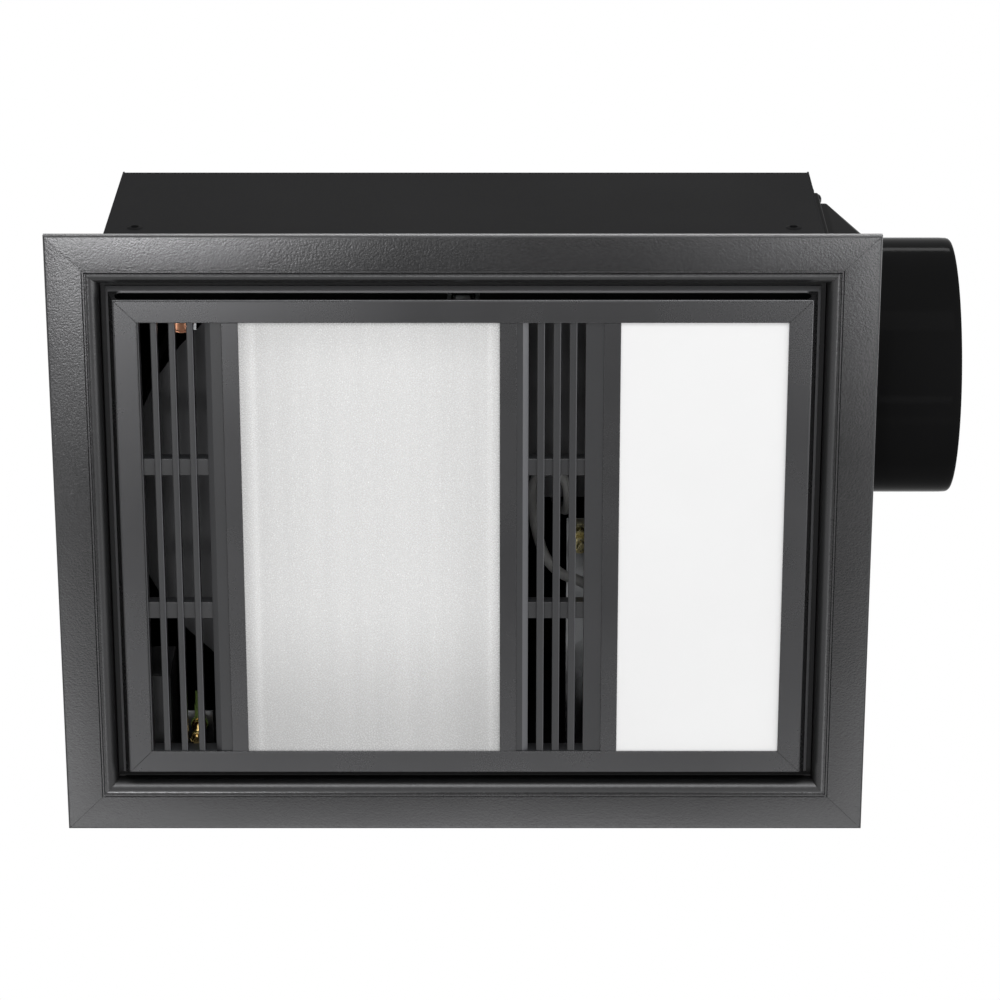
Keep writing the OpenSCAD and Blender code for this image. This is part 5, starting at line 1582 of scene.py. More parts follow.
@dataclass
class Housing:
    """Folded steel box with its end plates, rim angle, tabs and rivets."""

    shop: Workshop
    in_x: float = 204.0
    in_y: float = 156.0
    sheet: float = 1.0
    top: float = 198.0
    hole_x: float = 188.0
    hole_z: float = 85.0
    standoffs: tuple[Pair, ...] = ((62.0, 96.0), (-62.0, 96.0), (-112.0, -70.0), (70.0, -96.0))
    rivet_z: Corner = (29.0, 98.5, 168.0)
    rivet_y: Corner = (-141.0, 0.0, 141.0)

    def build(self) -> None:
        """Makes the folded wrap with its pressed holes, then the other sheets and the rivets."""
        out_y, low = self.in_y + self.sheet, -self.sheet
        under = self.top - self.sheet
        wrap = [(-out_y, low, 0.0), (-out_y, self.top, 2.2), (out_y, self.top, 2.2), (out_y, low, 0.0),
                (self.in_y, low, 0.0), (self.in_y, under, 1.2), (-self.in_y, under, 1.2),
                (-self.in_y, low, 0.0)]
        mesh = Shape().prism(rounded(wrap, 6), -self.in_x, self.in_x, Axis.X).mesh("housing_wrap_fold")
        places = [(sx * self.hole_x, sy * out_y, self.hole_z) for sx, sy in FOUR]
        cuts = [Shape().lathe(drill(2.2, 6.0), place, Axis.Y, 24).mesh("hole") for place in places]
        cuts += [Shape().lathe(drill(1.95, 6.0), place, Axis.Z, 24).mesh("hole")
                 for place in self.roof_holes()]
        self.shop.sign("housing_wrap_fold", carved(mesh, cuts), Slot.HOUSING_COAT, ["housing_wrap"])
        shape = Shape()
        for place, (_, sy) in zip(places, FOUR):
            profile = [(2.2, -0.4), (2.2, 0.55), (2.7, 0.8), (3.6, 0.55), (4.6, 0.1), (5.0, -0.4)]
            shape.lathe([(r, sy * t) for r, t in profile], place, Axis.Y, 32)
        self.shop.form("housing_hole_collars", shape, Slot.HOUSING_COAT, "housing_wrap", replace=False)
        self.shop.refine(("housing_ends", Slot.HOUSING_COAT, 0.18), ("housing_tabs", Slot.HOUSING_COAT, 0.15),
                         ("housing_rim", Slot.HOUSING_COAT, 0.3))
        self.rivets()

    @classmethod
    def roof_holes(cls) -> list[Point]:
        """Places of the screws that hold the blower's standoffs to the roof."""
        return [(BLOWER_AXIS[0] + x, BLOWER_AXIS[1] + y, cls.top) for x, y in cls.standoffs]

    def rivets(self) -> None:
        """Adds the blind rivets that hold the tabs, on the end plates and along the roof."""
        seats: list[Seat] = []
        for sx in ENDS:
            seats += [((sx * (self.in_x + self.sheet), sy * (self.in_y - 3), z), (sx, 0, 0))
                      for sy in ENDS for z in self.rivet_z]
            seats += [((sx * (self.in_x - 5), y, self.top), (0, 0, 1)) for y in self.rivet_y]
        sizes = {"Head Radius": 2.6, "Head Height": 1.1, "Bore Radius": 0.9}
        self.shop.grow(rivet_tree(), "housing_rivets", sizes, "housing_wrap", seat_mesh(seats), replace=False)


def seat_mesh(seats: Sequence[Seat]) -> Mesh:
    """Points with an outward direction each, for a tree that sets fasteners on them.

    Args:
        seats: pairs of a place in millimetres and a direction.

    Returns:
        A mesh of points with the attribute out.
    """
    mesh = bpy.data.meshes.new("seats")
    mesh.from_pydata([tuple(Vector(place) * MM) for place, _ in seats], [], [])
    out = mesh.attributes.new("out", "FLOAT_VECTOR", "POINT")
    for i, (_, direction) in enumerate(seats):
        out.data[i].vector = direction
    return mesh


@cache
def rivet_tree() -> Tree:
    """Domed blind rivets with the dimple of their pulled pin.

    Returns:
        The tree, which takes a mesh of seats.
    """
    tree = Tree("blind_rivets", Slot.HOUSING_COAT, takes_mesh=True)
    radius, height, bore = tree.sizes("Head Radius", "Head Height", "Bore Radius")
    pin = tree.node("MeshCylinder", {"Vertices": 12, "Radius": bore, "Depth": height})
    return tree.end(tree.seated(tree.less(tree.dome(16, radius, height), tree.lifted(pin, height))))


@cache
def screw_tree() -> Tree:
    """Pan-head screws with a crossed recess.

    Returns:
        The tree, which takes a mesh of seats.
    """
    tree = Tree("pan_screws", Slot.ZINC_SCREWS, takes_mesh=True)
    radius, height, shank, length, recess = tree.sizes(
        "Head Radius", "Head Height", "Shank Radius", "Shank Length", "Recess Width")
    wide, cover = tree.times(radius, 1.1), tree.times(radius, 3.0)
    tools = [tree.lifted(tree.node("MeshCube", {"Size": tree.xyz(a, b, height)}), height, share)
             for a, b, share in ((wide, recess, 1.0), (recess, wide, 1.0), (cover, cover, -0.5))]
    head = tree.less(tree.dome(24, radius, height), *tools)
    rod = tree.node("MeshCylinder", {"Vertices": 16, "Radius": shank, "Depth": length})
    return tree.end(tree.seated(tree.joined(head, tree.lifted(rod, length, -0.5))))


@dataclass
class Screws:
    """All the alike pan-head screws of the fixed body."""

    shop: Workshop
    head_r: float = 3.3
    head_h: float = 2.2
    shank_r: float = 1.7
    recess: float = 0.75
    ledge_z: float = 7.0
    flange: Corner = (209.0, -69.0, 101.0)
    flange_half: Pair = (77.4, 74.4)
    motor_ring: float = 40.0
    motor_z: float = 166.0

    def build(self) -> None:
        """Sets a screw on each seat, in lengths that suit what it holds."""
        x, y = FASCIA_SCREW
        fascia = [((sx * x, sy * y, self.ledge_z), (0, 0, -1)) for sx, sy in FOUR]
        (x, y, z), (wide, high) = self.flange, self.flange_half
        adaptor = [((x, y + sy * wide, z + sz * high), (1, 0, 0)) for sy, sz in FOUR]
        roof = [(place, (0, 0, 1)) for place in Housing.roof_holes()]
        (x, y), r = BLOWER_AXIS, self.motor_ring
        motor = [((x + r * math.cos(a), y + r * math.sin(a), self.motor_z), (0, 0, -1))
                 for a in map(math.radians, (45, 135, 225, 315))]
        for name, seats, length in (("fascia", fascia, 5.2), ("adaptor", adaptor, 8.0), ("roof", roof, 8.0),
                                    ("motor", motor, 7.2)):
            sizes = {"Head Radius": self.head_r, "Head Height": self.head_h, "Shank Radius": self.shank_r,
                     "Shank Length": length, "Recess Width": self.recess}
            self.shop.grow(screw_tree(), name + "_screws", sizes, "pan_screws", seat_mesh(seats))


@dataclass
class Duct:
    """Moulded adaptor from the flat outlet to the round collar, with its flap."""

    shop: Workshop
    centre: Pair = (-69.0, 100.0)
    rise: float = 1.0
    flange_x: float = 205.0
    flange_t: float = 4.0
    box_x: float = 213.5
    taper_x: float = 233.0
    end_x: float = 281.0
    collar_r: float = 74.0
    wall: float = 2.4
    box: Pair = (156.0, 150.0)
    box_r: float = 12.0
    flange_pad: float = 4.0
    flange_r: float = 7.0
    seat: Corner = (241.2, 68.3, 71.7)
    boss: Corner = (243.0, 69.2, 114.0)

    def ring(self, x: float, shrink: float, radius: float, pad: float = 0.0) -> list[Vector]:
        """Outline of the box at x, smaller by shrink on each side or larger by pad."""
        across, up = (size + 2 * (pad - shrink) for size in self.box)
        return self.placed(x, self.rise, rounded_plate(across, up, radius))

    def circle(self, x: float, radius: float) -> list[Vector]:
        """A circle round the duct's axis at x, matched to the box's outline."""
        return self.placed(x, 0.0, rounded_plate(2 * radius, 2 * radius, radius))

    def placed(self, x: float, rise: float, outline: Sequence[Pair]) -> list[Vector]:
        """An outline at x, round the duct's axis or above it by rise."""
        return [Vector((x, self.centre[0] + a, self.centre[1] + rise + b)) for a, b in outline]

    def build(self) -> None:
        """Makes the adaptor as one skin, then its seat and bosses, the flap and the pin."""
        w, r, last, corner = self.wall, self.collar_r, self.end_x, self.box_r
        base = self.flange_x + self.flange_t
        outside = ((self.flange_x, -0.4), (self.flange_x + 0.3, 0.0), (base - 0.8, 0.0), (base - 0.25, -0.25),
                   (base, -0.8))
        rings = [self.ring(x, 0, self.flange_r, self.flange_pad + more) for x, more in outside]
        rings += [self.ring(base, 0, corner, 0.8), self.ring(base + 0.25, 0, corner, 0.25),
                  self.ring(base + 0.8, 0, corner), self.ring(self.box_x - 0.8, 0, corner),
                  self.ring(self.box_x + 0.1, 0.25, corner - 0.25)]
        ends = ((self.taper_x - 0.6, -0.05), (self.taper_x + 1.5, 0.0), (last - 6, 0.0), (last - 2.2, 0.15),
                (last - 0.9, 0.55), (last - 0.2, 1.2), (last, 1.7), (last - 0.2, w), (self.taper_x + 1, w))
        rings += [self.circle(x, r - less) for x, less in ends]
        rings += [self.ring(x, w, corner - w) for x in (self.box_x, self.flange_x)]
        shape = Shape().loft(rings, closed=True)
        x, inner, outer = self.seat
        seat = [(outer, -0.8), (inner, -0.8), (inner, 0.8), (outer, 0.8)]
        shape.lathe(seat, (x, *self.centre), Axis.X, 96)
        x, reach, z = self.boss
        for s in ENDS:
            boss = [(1.6, -3 * s), (4.0, -3 * s), (4.0, 2 * s), (1.6, 2 * s)]
            shape.lathe(boss, (x, self.centre[0] + s * reach, z), Axis.Y, 32)
        self.shop.form("duct_adaptor_shell", shape, Slot.ADAPTOR_PLASTIC, "duct_adaptor", angle=50.0)
        self.shop.refine(("backdraft_flap", Slot.FLAP_PLASTIC, 0.25), ("flap_pin", Slot.SHAFT_STEEL, 0.2))


def wire_tree(name: str, slot: Slot) -> Tree:
    """Draws a round wire along a path.

    Args:
        name: the tree's name.
        slot: the slot of the wire's finish.

    Returns:
        The tree, which takes a mesh of edges.
    """
    tree = Tree(name, slot, takes_mesh=True)
    (radius,), (sides,) = tree.sizes("Wire Radius"), tree.counts("Sides")
    path = tree.node("MeshToCurve", {"Mesh": tree.source.outputs["Geometry"]})
    section = tree.node("CurvePrimitiveCircle", {"Resolution": sides, "Radius": radius})
    return tree.end(tree.swept(path, section))


def path_mesh(paths: Sequence[Sequence[Point]]) -> Mesh:
    """Edges along some paths in millimetres, for a tree that draws wire along them.

    Args:
        paths: the points of each path.

    Returns:
        A mesh of edges.
    """
    points: list[Point] = []
    edges: list[tuple[int, int]] = []
    for path in paths:
        edges += [(len(points) + i, len(points) + i + 1) for i in range(len(path) - 1)]
        points += [tuple(Vector(p) * MM) for p in path]
    mesh = bpy.data.meshes.new("paths")
    mesh.from_pydata(points, edges, [])
    return mesh


def smooth_path(points: Sequence[Point], steps: int = 6) -> list[Vector]:
    """Passes an even curve through points.

    Args:
        points: the points that it passes.
        steps: how many chords lie between two of them.

    Returns:
        The curve's points.
    """
    line = [Vector(p) for p in points]
    found: list[Vector] = []
    for i in range(len(line) - 1):
        p0, p1, p2, p3 = (line[max(min(i + k, len(line) - 1), 0)] for k in (-1, 0, 1, 2))
        for t in (s / steps for s in range(steps)):
            found.append((p1 * 2 + (p2 - p0) * t + (p0 * 2 - p1 * 5 + p2 * 4 - p3) * t * t
                          + (p1 * 3 - p0 - p2 * 3 + p3) * t ** 3) * 0.5)
    return found + [line[-1]]


@cache
def blade_tree() -> Tree:
    """Blades of a squirrel-cage wheel, curved forwards and spread evenly round its axis.

    Returns:
        The tree, which makes everything from its sizes.
    """
    tree = Tree("wheel_blades", Slot.IMPELLER_PLASTIC)
    (count,) = tree.counts("Blades")
    inner, outer, thick, height, lean, x, y, z = tree.sizes(
        "Inner Radius", "Outer Radius", "Thickness", "Height", "Lean", "Axis X", "Axis Y", "Middle Height")
    middle = tree.times(tree.math("ADD", inner, outer), 0.5)
    curve = tree.node("CurveQuadraticBezier", {
        "Resolution": 6, "Start": tree.xyz(inner, 0, 0), "Middle": tree.xyz(middle, 0, 0),
        "End": tree.xyz(outer, lean, 0)})
    section = tree.node("CurvePrimitiveQuadrilateral", {"Width": thick, "Height": height})
    points = tree.node("MeshLine", {"Count": count, "Start Location": tree.xyz(x, y, z),
                                    "Offset": (0.0, 0.0, 0.0)})
    turn = tree.times(tree.node("InputIndex"), tree.math("DIVIDE", math.tau, count))
    return tree.end(tree.repeated(points, tree.swept(curve, section), Rotation=tree.xyz(0, 0, turn)))


@dataclass
class Blower:
    """Centrifugal fan: scroll, motor, standoffs and the wheel."""

    shop: Workshop
    wheel_r: float = 84.0
    ring_r: float = 72.0
    ring_z: float = 85.0
    plate_z: float = 153.0
    bore: float = 4.05
    ribs: int = 6
    motor_low: float = 167.2
    motor_r: float = 46.0
    layers: int = 11
    layer: float = 1.1

    def build(self) -> None:
        """Makes the scroll's sheets, the motor and the turning wheel."""
        self.shop.refine(
            ("scroll_base", Slot.SHIELD_STEEL, 0.15), ("scroll_wall", Slot.SHIELD_STEEL, 0.15),
            ("motor_plate", Slot.SHIELD_STEEL, 0.15), ("wall_brackets", Slot.GALVANISED, 0.15),
            ("blower_standoffs", Slot.ZINC_SCREWS, 0.3), ("motor_bearings", Slot.BRASS_PARTS, 0.3),
            ("hub_nut", Slot.PLATED_BOLT, 0.3))
        self.motor()
        self.wheel()

    def motor(self) -> None:
        """Makes the motor's can with its stack of laminations and its pressed cap."""
        r = self.motor_r
        profile: list[Pair] = [(5.0, 6.0), (8.0, 6.0), (8.0, 0.0), (r - 1.5, 0.0), (r - 0.6, 0.3),
                               (r - 0.5, 1.5)]
        for z in (2.0 + k * self.layer for k in range(self.layers)):
            profile += [(r, z), (r, z + 0.7), (r - 0.5, z + 0.75), (r - 0.5, z + 1.05)]
        profile += [(r - 2, 14.8), (r - 2.4, 16.0), (r - 5, 20.5), (r - 8, 24.6), (r - 11, 26.6),
                    (r - 22, 26.8), (r - 24, 25.8), (10.5, 25.8), (10.0, 26.8), (8.0, 26.8), (8.0, 20.8),
                    (5.0, 20.8)]
        shape = Shape().lathe(profile, (*BLOWER_AXIS, self.motor_low), Axis.Z, 96)
        self.shop.form("motor_can_pressed", shape, Slot.MOTOR_METAL, "motor_can")

    def wheel(self) -> None:
        """Makes the wheel's plate, hub, ring and blades, and its shaft."""
        r, top, low, inner, bore = self.wheel_r, self.plate_z, self.ring_z, self.ring_r, self.bore
        x, y = BLOWER_AXIS
        base = (x, y, 0.0)
        plate = [(bore, 130.4), (11.2, 130.4), (12.0, 131.2), (12.0, 148.0), (13.5, 151.5), (17.0, top),
                 (r - 0.6, top), (r, 153.4), (r, 154.1), (r - 0.4, 154.4), (bore, 154.4)]
        ring = [(72.4, low), (r - 0.3, low), (r, 85.3), (r, 86.3), (r - 0.3, 86.6), (72.4, 86.6),
                (inner, 86.2), (inner, 85.4)]
        shape = Shape().lathe(plate, base, Axis.Z, 96).lathe(ring, base, Axis.Z, 96)
        for angle in (math.radians(360 / self.ribs * k) for k in range(self.ribs)):
            c, s = math.cos(angle), math.sin(angle)
            shape.tube([(x + c * 11, y + s * 11, 150.5), (x + c * 66, y + s * 66, 152.6)], 1.2, 8)
        self.shop.form("impeller_wheel", shape, Slot.IMPELLER_PLASTIC, "impeller")
        sizes = {"Blades": 36, "Inner Radius": 70.3, "Outer Radius": 83.0, "Thickness": 0.9, "Height": 66.4,
                 "Lean": 9.6, "Axis X": x, "Axis Y": y, "Middle Height": 119.8}
        self.shop.grow(blade_tree(), "impeller_vanes", sizes, "impeller_blades")
        rod = [(0.0, 121.9), (3.4, 121.9), (4.0, 122.5), (4.0, 192.4), (3.4, 193.0), (0.0, 193.0)]
        shaft = Shape().lathe(rod, base, Axis.Z, 32)
        self.shop.form("motor_shaft_turned", shaft, Slot.SHAFT_STEEL, "motor_shaft")


@cache
def coil_tree() -> Tree:
    """Heating coils, wound along Y.

    Returns:
        The tree, which takes a mesh of seats that point along Y.
    """
    tree = Tree("heating_coils", Slot.HEATING_WIRE, takes_mesh=True)
    (turns,) = tree.sizes("Turns", unit=1.0)
    radius, length, wire_r = tree.sizes("Coil Radius", "Coil Length", "Wire Radius")
    spiral = tree.node("CurveSpiral", {"Resolution": 10, "Rotations": turns, "Start Radius": radius,
                                       "End Radius": radius, "Height": length})
    section = tree.node("CurvePrimitiveCircle", {"Resolution": 5, "Radius": wire_r})
    return tree.end(tree.seated(tree.swept(tree.lifted(spiral, length, -0.5), section)))


@dataclass
class Heater:
    """Radiant heater: trough reflector, two quartz tubes with coils, and the cover."""

    shop: Workshop
    left: float = -112.0
    right: float = 8.0
    low: float = 12.0
    high: float = 44.0
    sheet: float = 0.8
    half: float = 118.0
    rims: Pair = (-125.2, 21.2)
    tube_x: Pair = (-64.0, -40.0)
    tube_z: float = 29.0
    tube_half: float = 111.0
    turns: float = 84.0
    coil_half: float = 104.0
    pin: Pair = (103.5, 115.0)

    def build(self) -> None:
        """Makes the reflector, tubes, caps and coils."""
        self.reflector()
        self.shop.refine(("reflector_ends", Slot.POLISHED_ALUMINIUM, 0.1),
                         ("heat_shield", Slot.SHIELD_STEEL, 0.25), ("tube_end_caps", Slot.CERAMIC_CAPS, 0.5),
                         ("thermal_cutout", Slot.COPPER_CAP, 0.25))
        tubes, pins, end = Shape(), Shape(), self.tube_half
        wall = [(4.0, -end), (4.5, -end - 0.4), (5.0, -end), (5.0, end), (4.5, end + 0.4), (4.0, end)]
        for x in self.tube_x:
            tubes.lathe(wall, (x, 0.0, self.tube_z), Axis.Y, 32)
            for s in ENDS:
                pins.tube([(x, s * y, self.tube_z) for y in self.pin], 1.9, 16)
        self.shop.form("quartz_tubes_drawn", tubes, Slot.QUARTZ, "quartz_tubes")
        seats = seat_mesh([((x, 0.0, self.tube_z), (0, 1, 0)) for x in self.tube_x])
        sizes = {"Turns": self.turns, "Coil Radius": 1.7, "Coil Length": 2 * self.coil_half,
                 "Wire Radius": 0.3}
        self.shop.grow(coil_tree(), "heating_coils", sizes, "heating_wires", seats, angle=80.0)
        self.shop.form("heating_pins", pins, Slot.HEATING_WIRE, "heating_wires", replace=False)

    def reflector(self) -> None:
        """Makes the polished trough: flat rims, round sides and an even roof."""
        depth, over = self.high - self.low, self.low + self.sheet
        first, last = self.rims
        centres = (self.left + depth, self.low), (self.right - depth, self.low)
        inner: list[Pair] = [(first, self.low), (self.left, self.low)]
        inner += arc(centres[0], depth, 180, 90, 16)[1:] + arc(centres[1], depth, 90, 0, 16)
        inner += [(last, self.low)]
        outer = [(first, over), (self.left - self.sheet, over)]
        outer += arc(centres[0], depth + self.sheet, 177, 90, 16)
        outer += arc(centres[1], depth + self.sheet, 90, 3, 16)
        outer += [(self.right + self.sheet, over), (last, over)]
        shape = Shape().prism(inner + outer[::-1], -self.half, self.half, Axis.Y)
        self.shop.form("heat_reflector_rolled", shape, Slot.POLISHED_ALUMINIUM, "heat_reflector", angle=30.0)


@cache
def chip_tree() -> Tree:
    """Light chips: low blocks with a domed window, in a grid.

    Returns:
        The tree, which makes everything from its sizes.
    """
    tree = Tree("light_chips", Slot.CHIP_YELLOW)
    columns, rows = tree.counts("Columns", "Rows")
    wide, long, side, height, x, z = tree.sizes(
        "Grid Width", "Grid Length", "Chip Side", "Chip Height", "Middle X", "Middle Z")
    grid = tree.node("MeshGrid", {"Size X": wide, "Size Y": long, "Vertices X": columns, "Vertices Y": rows})
    places = tree.node("Transform", {"Geometry": grid, "Translation": tree.xyz(x, 0, z)})
    body = tree.node("MeshCube", {"Size": tree.xyz(side, side, tree.times(height, 0.7))})
    window = tree.lifted(tree.dome(12, tree.times(side, 0.4), tree.times(height, 0.3)), height, -0.2)
    return tree.end(tree.repeated(places, tree.joined(tree.lifted(body, height, 0.15), window)))


@dataclass
class Light:
    """Light unit behind the opal sheet: tray, board and chips."""

    shop: Workshop
    board: Pair = (92.6, 175.0)
    board_half: float = 125.0
    columns: int = 4
    rows: int = 12
    chip: float = 3.5
    chip_h: float = 0.8
    board_z: float = 10.5

    def build(self) -> None:
        """Makes the tray and board softer and sets the chips in their grid."""
        self.shop.refine(("light_tray", Slot.TRAY_METAL, 0.4), ("light_board", Slot.BOARD_WHITE, 0.2))
        low, high = self.board
        pitch_x, pitch_y = (high - low) / self.columns, 2 * self.board_half / self.rows
        sizes = {"Grid Width": (self.columns - 1) * pitch_x, "Grid Length": (self.rows - 1) * pitch_y,
                 "Columns": self.columns, "Rows": self.rows, "Chip Side": self.chip,
                 "Chip Height": self.chip_h, "Middle X": (low + high) / 2,
                 "Middle Z": self.board_z - self.chip_h / 2}
        self.shop.grow(chip_tree(), "light_chips_set", sizes, "light_chips")


@dataclass
class PanelSprings:
    """Torsion springs that carry the panel, and the saddles that hold them."""

    shop: Workshop
    coil_r: float = 5.0
    wire_r: float = 0.8
    turns: float = 2.5
    pitch: float = 2.05
    coil_z: float = 3.5
    hook_z: float = 67.0
    at_y: float = 138.0
    per_turn: int = 24

    def path(self, y: float) -> list[Vector]:
        """Middle line of one spring whose coil is centred at y: a leg, the coil and the other leg.

        Args:
            y: the coil's middle.

        Returns:
            The points of the line, in order.
        """
        leg = self.hook_z - self.coil_z
        side = self.turns * self.pitch / 2
        r = self.coil_r
        half = [(-r - 6, -side, leg), (-r - 2.2, -side, leg), (-r - 0.7, -side, leg - 0.7),
                (-r, -side, leg - 2.2)] + [(-r, -side, leg * t) for t in (0.75, 0.5, 0.25, 0.08)]
        steps = int(self.turns * self.per_turn)
        coil = []
        for i in range(steps + 1):
            a = math.pi + math.tau * i / self.per_turn
            coil.append((r * math.cos(a), -side + 2 * side * i / steps, r * math.sin(a)))
        points = half + coil + [(-a, -b, c) for a, b, c in half[::-1]]
        return [Vector((a, y + b, self.coil_z + c)) for a, b, c in points]

    def build(self) -> None:
        """Draws both springs and softens the saddles."""
        tree = wire_tree("spring_wire", Slot.SPRING_STEEL)
        sizes = {"Wire Radius": self.wire_r, "Sides": 12}
        self.shop.grow(tree, "panel_springs_wound", sizes, "panel_springs",
                       path_mesh([self.path(s * self.at_y) for s in ENDS]), angle=80.0)
        self.shop.refine(("spring_saddles", Slot.GALVANISED, 0.2))


@dataclass
class Post:
    """A threaded post with nuts and a washer, each with its lower face, upper face and radius."""

    shop: Workshop
    node: str
    slot: Slot
    at: Pair
    span: Pair
    radius: float
    nuts: tuple[Corner, ...]
    washer: Corner
    depth: float = 0.32
    tip: float = 0.6
    pitch: float = 0.8
    soft: Pair = (0.35, 0.15)

    def build(self) -> None:
        """Makes the post as one piece."""
        (low, high), r, root, tip = self.span, self.radius, self.radius - self.depth, self.radius - self.tip
        profile: list[Pair] = [(0.0, low), (tip, low)]
        z = low + self.pitch / 2
        while z < high - 1.0:
            profile += [(root, z), (r, z + 0.3), (r, z + 0.4), (root, z + 0.7)]
            z += self.pitch
        profile += [(tip, high), (0.0, high)]
        shape = Shape().lathe(profile, (*self.at, 0.0), Axis.Z, 24)
        over, soft = self.soft
        for bottom, top, corner in self.nuts:
            six = [(self.at[0] + corner * math.cos(a), self.at[1] + corner * math.sin(a))
                   for a in (math.tau * k / 6 for k in range(6))]
            shape.prism(six, bottom, top, Axis.Z, over)
        bottom, top, outer = self.washer
        ring = [(r, bottom), (outer - soft, bottom), (outer, bottom + soft), (outer, top - soft),
                (outer - soft, top), (r, top)]
        shape.lathe(ring, (*self.at, 0.0), Axis.Z, 40)
        self.shop.form(self.node + "_threaded", shape, self.slot, self.node)


@dataclass
class Services:
    """Electrical fittings inside the box."""

    shop: Workshop
    lead_r: float = 3.0
    lead: tuple[Corner, ...] = (
        (169.9, 96, 60), (160, 96, 60), (148, 95, 58), (132, 90, 53), (114, 80, 46), (96, 64, 40),
        (80, 50, 37), (66, 41, 37), (56, 38, 40), (48, 32, 46), (43, 22, 53), (40, 9, 58), (39, -6, 61),
        (43, -16, 60), (51, -19, 58), (58, -13, 57), (60, -2, 59), (59, 8, 66), (56, 12, 80),
        (53, 13, 100), (52, 13, 124), (50, 13, 148), (47, 13, 163), (40, 13, 176.6), (28, 12, 180.6),
        (10, 12, 180.6), (-13.85, 12, 180.6))
    can_at: Corner = (120.0, 135.0, 112.0)

    def build(self) -> None:
        """Makes the lead and the capacitor, and refines the moulded and metal parts."""
        tree = wire_tree("sheathed_lead", Slot.LEAD_SHEATH)
        self.shop.grow(tree, "inner_lead_sheath", {"Wire Radius": self.lead_r, "Sides": 16}, "inner_lead",
                       path_mesh([smooth_path(self.lead)]), angle=60.0)
        self.shop.refine(
            ("terminal_box", Slot.TERMINAL_PLASTIC, 0.6), ("terminal_cover", Slot.TERMINAL_PLASTIC, 0.5),
            ("terminal_block", Slot.BLOCK_PLASTIC, 0.35), ("terminal_screws", Slot.BRASS_PARTS, 0.15),
            ("cable_grommet", Slot.GROMMET_RUBBER, 0.5), ("earth_tag", Slot.EARTH_SLEEVE, 0.15),
            ("capacitor_clip", Slot.ZINC_SCREWS, 0.15), ("light_driver", Slot.DRIVER_CASE, 0.8))
        self.capacitor()
        Post(self.shop, "bracket_bolt", Slot.PLATED_BOLT, (67.0, 18.0), (32.0, 61.2), 2.5,
             ((57.2, 60.7, 5.0), (52.0, 56.0, 5.0), (34.0, 39.0, 5.0)), (39.0, 40.2, 7.0)).build()
        Post(self.shop, "earth_stud", Slot.BRASS_PARTS, (-155.5, 131.0), (12.0, 39.7), 2.7,
             ((37.2, 40.2, 4.5), (30.0, 33.2, 4.5), (14.0, 17.0, 4.5)), (33.2, 34.0, 4.6)).build()

    def capacitor(self) -> None:
        """Makes the capacitor's drawn can with its crimped foot and blade terminals."""
        x, y, z = self.can_at
        profile = [(0.0, -1.6), (11.5, -1.6), (12.2, -2.0), (13.0, -2.0), (13.8, -1.2), (14.2, 0.6),
                   (14.9, 1.8), (15.0, 3.0), (14.6, 3.8), (15.0, 4.6), (15.0, 50.4), (14.5, 51.5),
                   (13.4, 52.0), (0.0, 52.0)]
        shape = Shape().lathe(profile, self.can_at, Axis.Z, 64)
        for dx in (-5, 5):
            shape.block((x + dx - 0.4, y - 3, z - 10), (x + dx + 0.4, y + 3, z - 1), 0.15)
        self.shop.form("run_capacitor_can", shape, Slot.CAPACITOR_CASE, "run_capacitor")


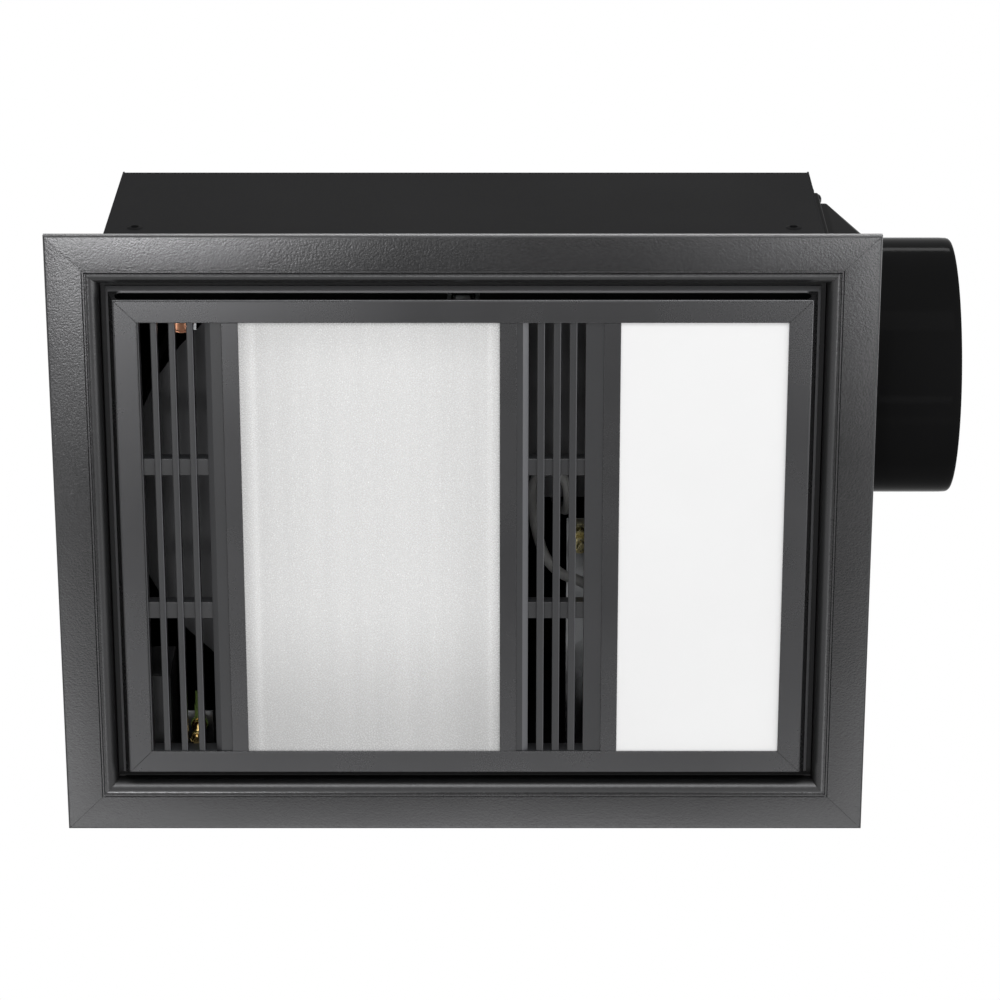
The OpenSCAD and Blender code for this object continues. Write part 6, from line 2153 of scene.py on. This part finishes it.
@dataclass
class Studio:
    """Camera, background, floor, the dark card beside the camera and the lamps, in metres.

    Each lamp has a name, the place of its middle, its width and height, and how bright its face is,
    where 1 is a white card in full light.
    """

    place: Corner = (0.0204, -0.8073, -2.0162)
    forward: Corner = (0.0, 0.3624, 0.932)
    near: float = 0.05
    aim: Corner = (0.0, 0.0, 0.05)
    sky: float = 0.63
    floor: Pair = (30.0, -2.4)
    card: tuple[Pair, Pair] = ((-0.62, 0.28), (0.56, 1.0))
    card_z: float = -2.15
    lamps: tuple[tuple[str, Corner, Pair, float], ...] = (
        ("left_key", (-0.4, 0.32, -2.0), (0.2, 0.2), 21.5),
        ("right_key", (0.48, 0.36, -2.0), (0.2, 0.2), 9.3),
        ("left_fill", (-0.6, 1.17, -2.0), (0.32, 0.32), 3.0),
        ("right_fill", (0.6, 1.2, -2.0), (0.3, 0.3), 2.3),
        ("far_fill", (0.0, 1.45, -2.0), (0.8, 0.25), 3.2),
        ("near_softbox", (0.0, -1.7, -0.9), (1.4, 0.6), 5.5),
        ("right_softbox", (1.9, 0.1, -0.6), (0.8, 1.7), 3.0),
        ("roof_softbox", (0.1, -1.35, 1.95), (1.2, 0.22), 14.0))

    def build(self) -> None:
        """Sets up the whole studio."""
        bpy.context.scene.view_settings.view_transform = "Standard"
        self.camera()
        self.world()
        reach, z = self.floor
        paint = Shader("floor_paint")
        slow = paint.effect(mottle_effect(), Scale=0.8, Low=0.99, High=1.01)
        paint.set(Base_Color=paint.toned((0.84, 0.84, 0.84), slow.outputs[0]), Roughness=0.7,
                  Specular_IOR_Level=0.2)
        self.sheet("floor", ((-reach, -reach), (reach, reach)), z, paint)
        felt = Shader("card_felt")
        nap = felt.between(felt.effect(grain_effect(), Scale=400.0).outputs["Tone"], 0.8, 1.2)
        felt.set(Base_Color=felt.toned((0.04, 0.04, 0.04), nap), Roughness=0.9, Specular_IOR_Level=0.1)
        card = self.sheet("dark_card", self.card, self.card_z, felt)
        card.visible_camera = False
        self.light()

    def camera(self) -> None:
        """Places the camera as the photograph's, in millimetres of lens on the sensor's width."""
        data = bpy.data.cameras.new("camera")
        data.sensor_width = SENSOR_WIDTH
        data.lens = FOCAL_PIXELS * SENSOR_WIDTH / PHOTO_SIDE
        data.clip_start = self.near
        ahead = Vector(self.forward).normalized()
        right = Vector((1.0, 0.0, 0.0))
        turn = Matrix((right, right.cross(ahead), -ahead)).transposed()
        camera = hosted(data, "camera")
        camera.matrix_world = Matrix.Translation(self.place) @ turn.to_4x4()
        bpy.context.scene.camera = camera

    def light(self) -> None:
        """Adds the softboxes, aimed at the object."""
        for name, place, sides, brightness in self.lamps:
            data = bpy.data.lights.new(name, "AREA")
            data.shape = "RECTANGLE"
            data.size, data.size_y = sides
            data.energy = brightness * math.pi * sides[0] * sides[1]
            lamp = hosted(data, name)
            lamp.location = place
            lamp.rotation_euler = (Vector(self.aim) - Vector(place)).to_track_quat("-Z", "Y").to_euler()
            lamp.visible_camera = False

    def sheet(self, name: str, box: tuple[Pair, Pair], z: float, shader: Shader) -> bpy.types.Object:
        """A level sheet between two corners with its own material.

        Args:
            name: the sheet's name.
            box: two opposite corners.
            z: its height.
            shader: its material's shader.

        Returns:
            The sheet.
        """
        (left, near), (right, far) = box
        mesh = bpy.data.meshes.new(name)
        mesh.from_pydata([(left, near, z), (right, near, z), (right, far, z), (left, far, z)], [],
                         [(0, 1, 2, 3)])
        mesh.materials.append(shader.material)
        return hosted(mesh, name)

    def world(self) -> None:
        """Makes the background white where it is seen, and plain daylight where it lights."""
        world = bpy.data.worlds.new("studio_sky")
        world.use_nodes = True
        maker = NodeMaker(world.node_tree)
        maker.tree.nodes.clear()
        rays = maker.add("ShaderNodeLightPath").outputs
        seen = maker.math("MAXIMUM", rays["Is Camera Ray"], rays["Is Glossy Ray"])
        seen = maker.math("MAXIMUM", seen, rays["Is Transmission Ray"])
        light, white = (maker.add("ShaderNodeBackground", {"Color": (1, 1, 1, 1), "Strength": power})
                        for power in (self.sky, 1.0))
        mixed = maker.add("ShaderNodeMixShader", {0: seen, 1: light.outputs[0], 2: white.outputs[0]})
        maker.add("ShaderNodeOutputWorld", {"Surface": mixed.outputs[0]})
        bpy.context.scene.world = world


def main() -> None:
    """Builds every sub-assembly over the frame."""
    logging.basicConfig(level=logging.INFO, format="%(message)s")
    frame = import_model()
    shop = Workshop(frame)
    left = Grille(shop, "grille_left", -183.0, -130.9, -179.3, 6.4, 3.6, False)
    middle = Grille(shop, "grille_middle", 26.9, 80.7, 36.3, 4.75, 4.2, True)
    for piece in (Studio(), Fascia(shop), PanelFrame(shop), left, middle, Panes(shop), Housing(shop),
                  Duct(shop), Screws(shop), Blower(shop), Heater(shop), Light(shop), PanelSprings(shop),
                  Services(shop)):
        piece.build()
    LOG.info("nodes without a finish: %s", sorted(set(shop.nodes) - shop.done))


if __name__ == "__main__":
    main()
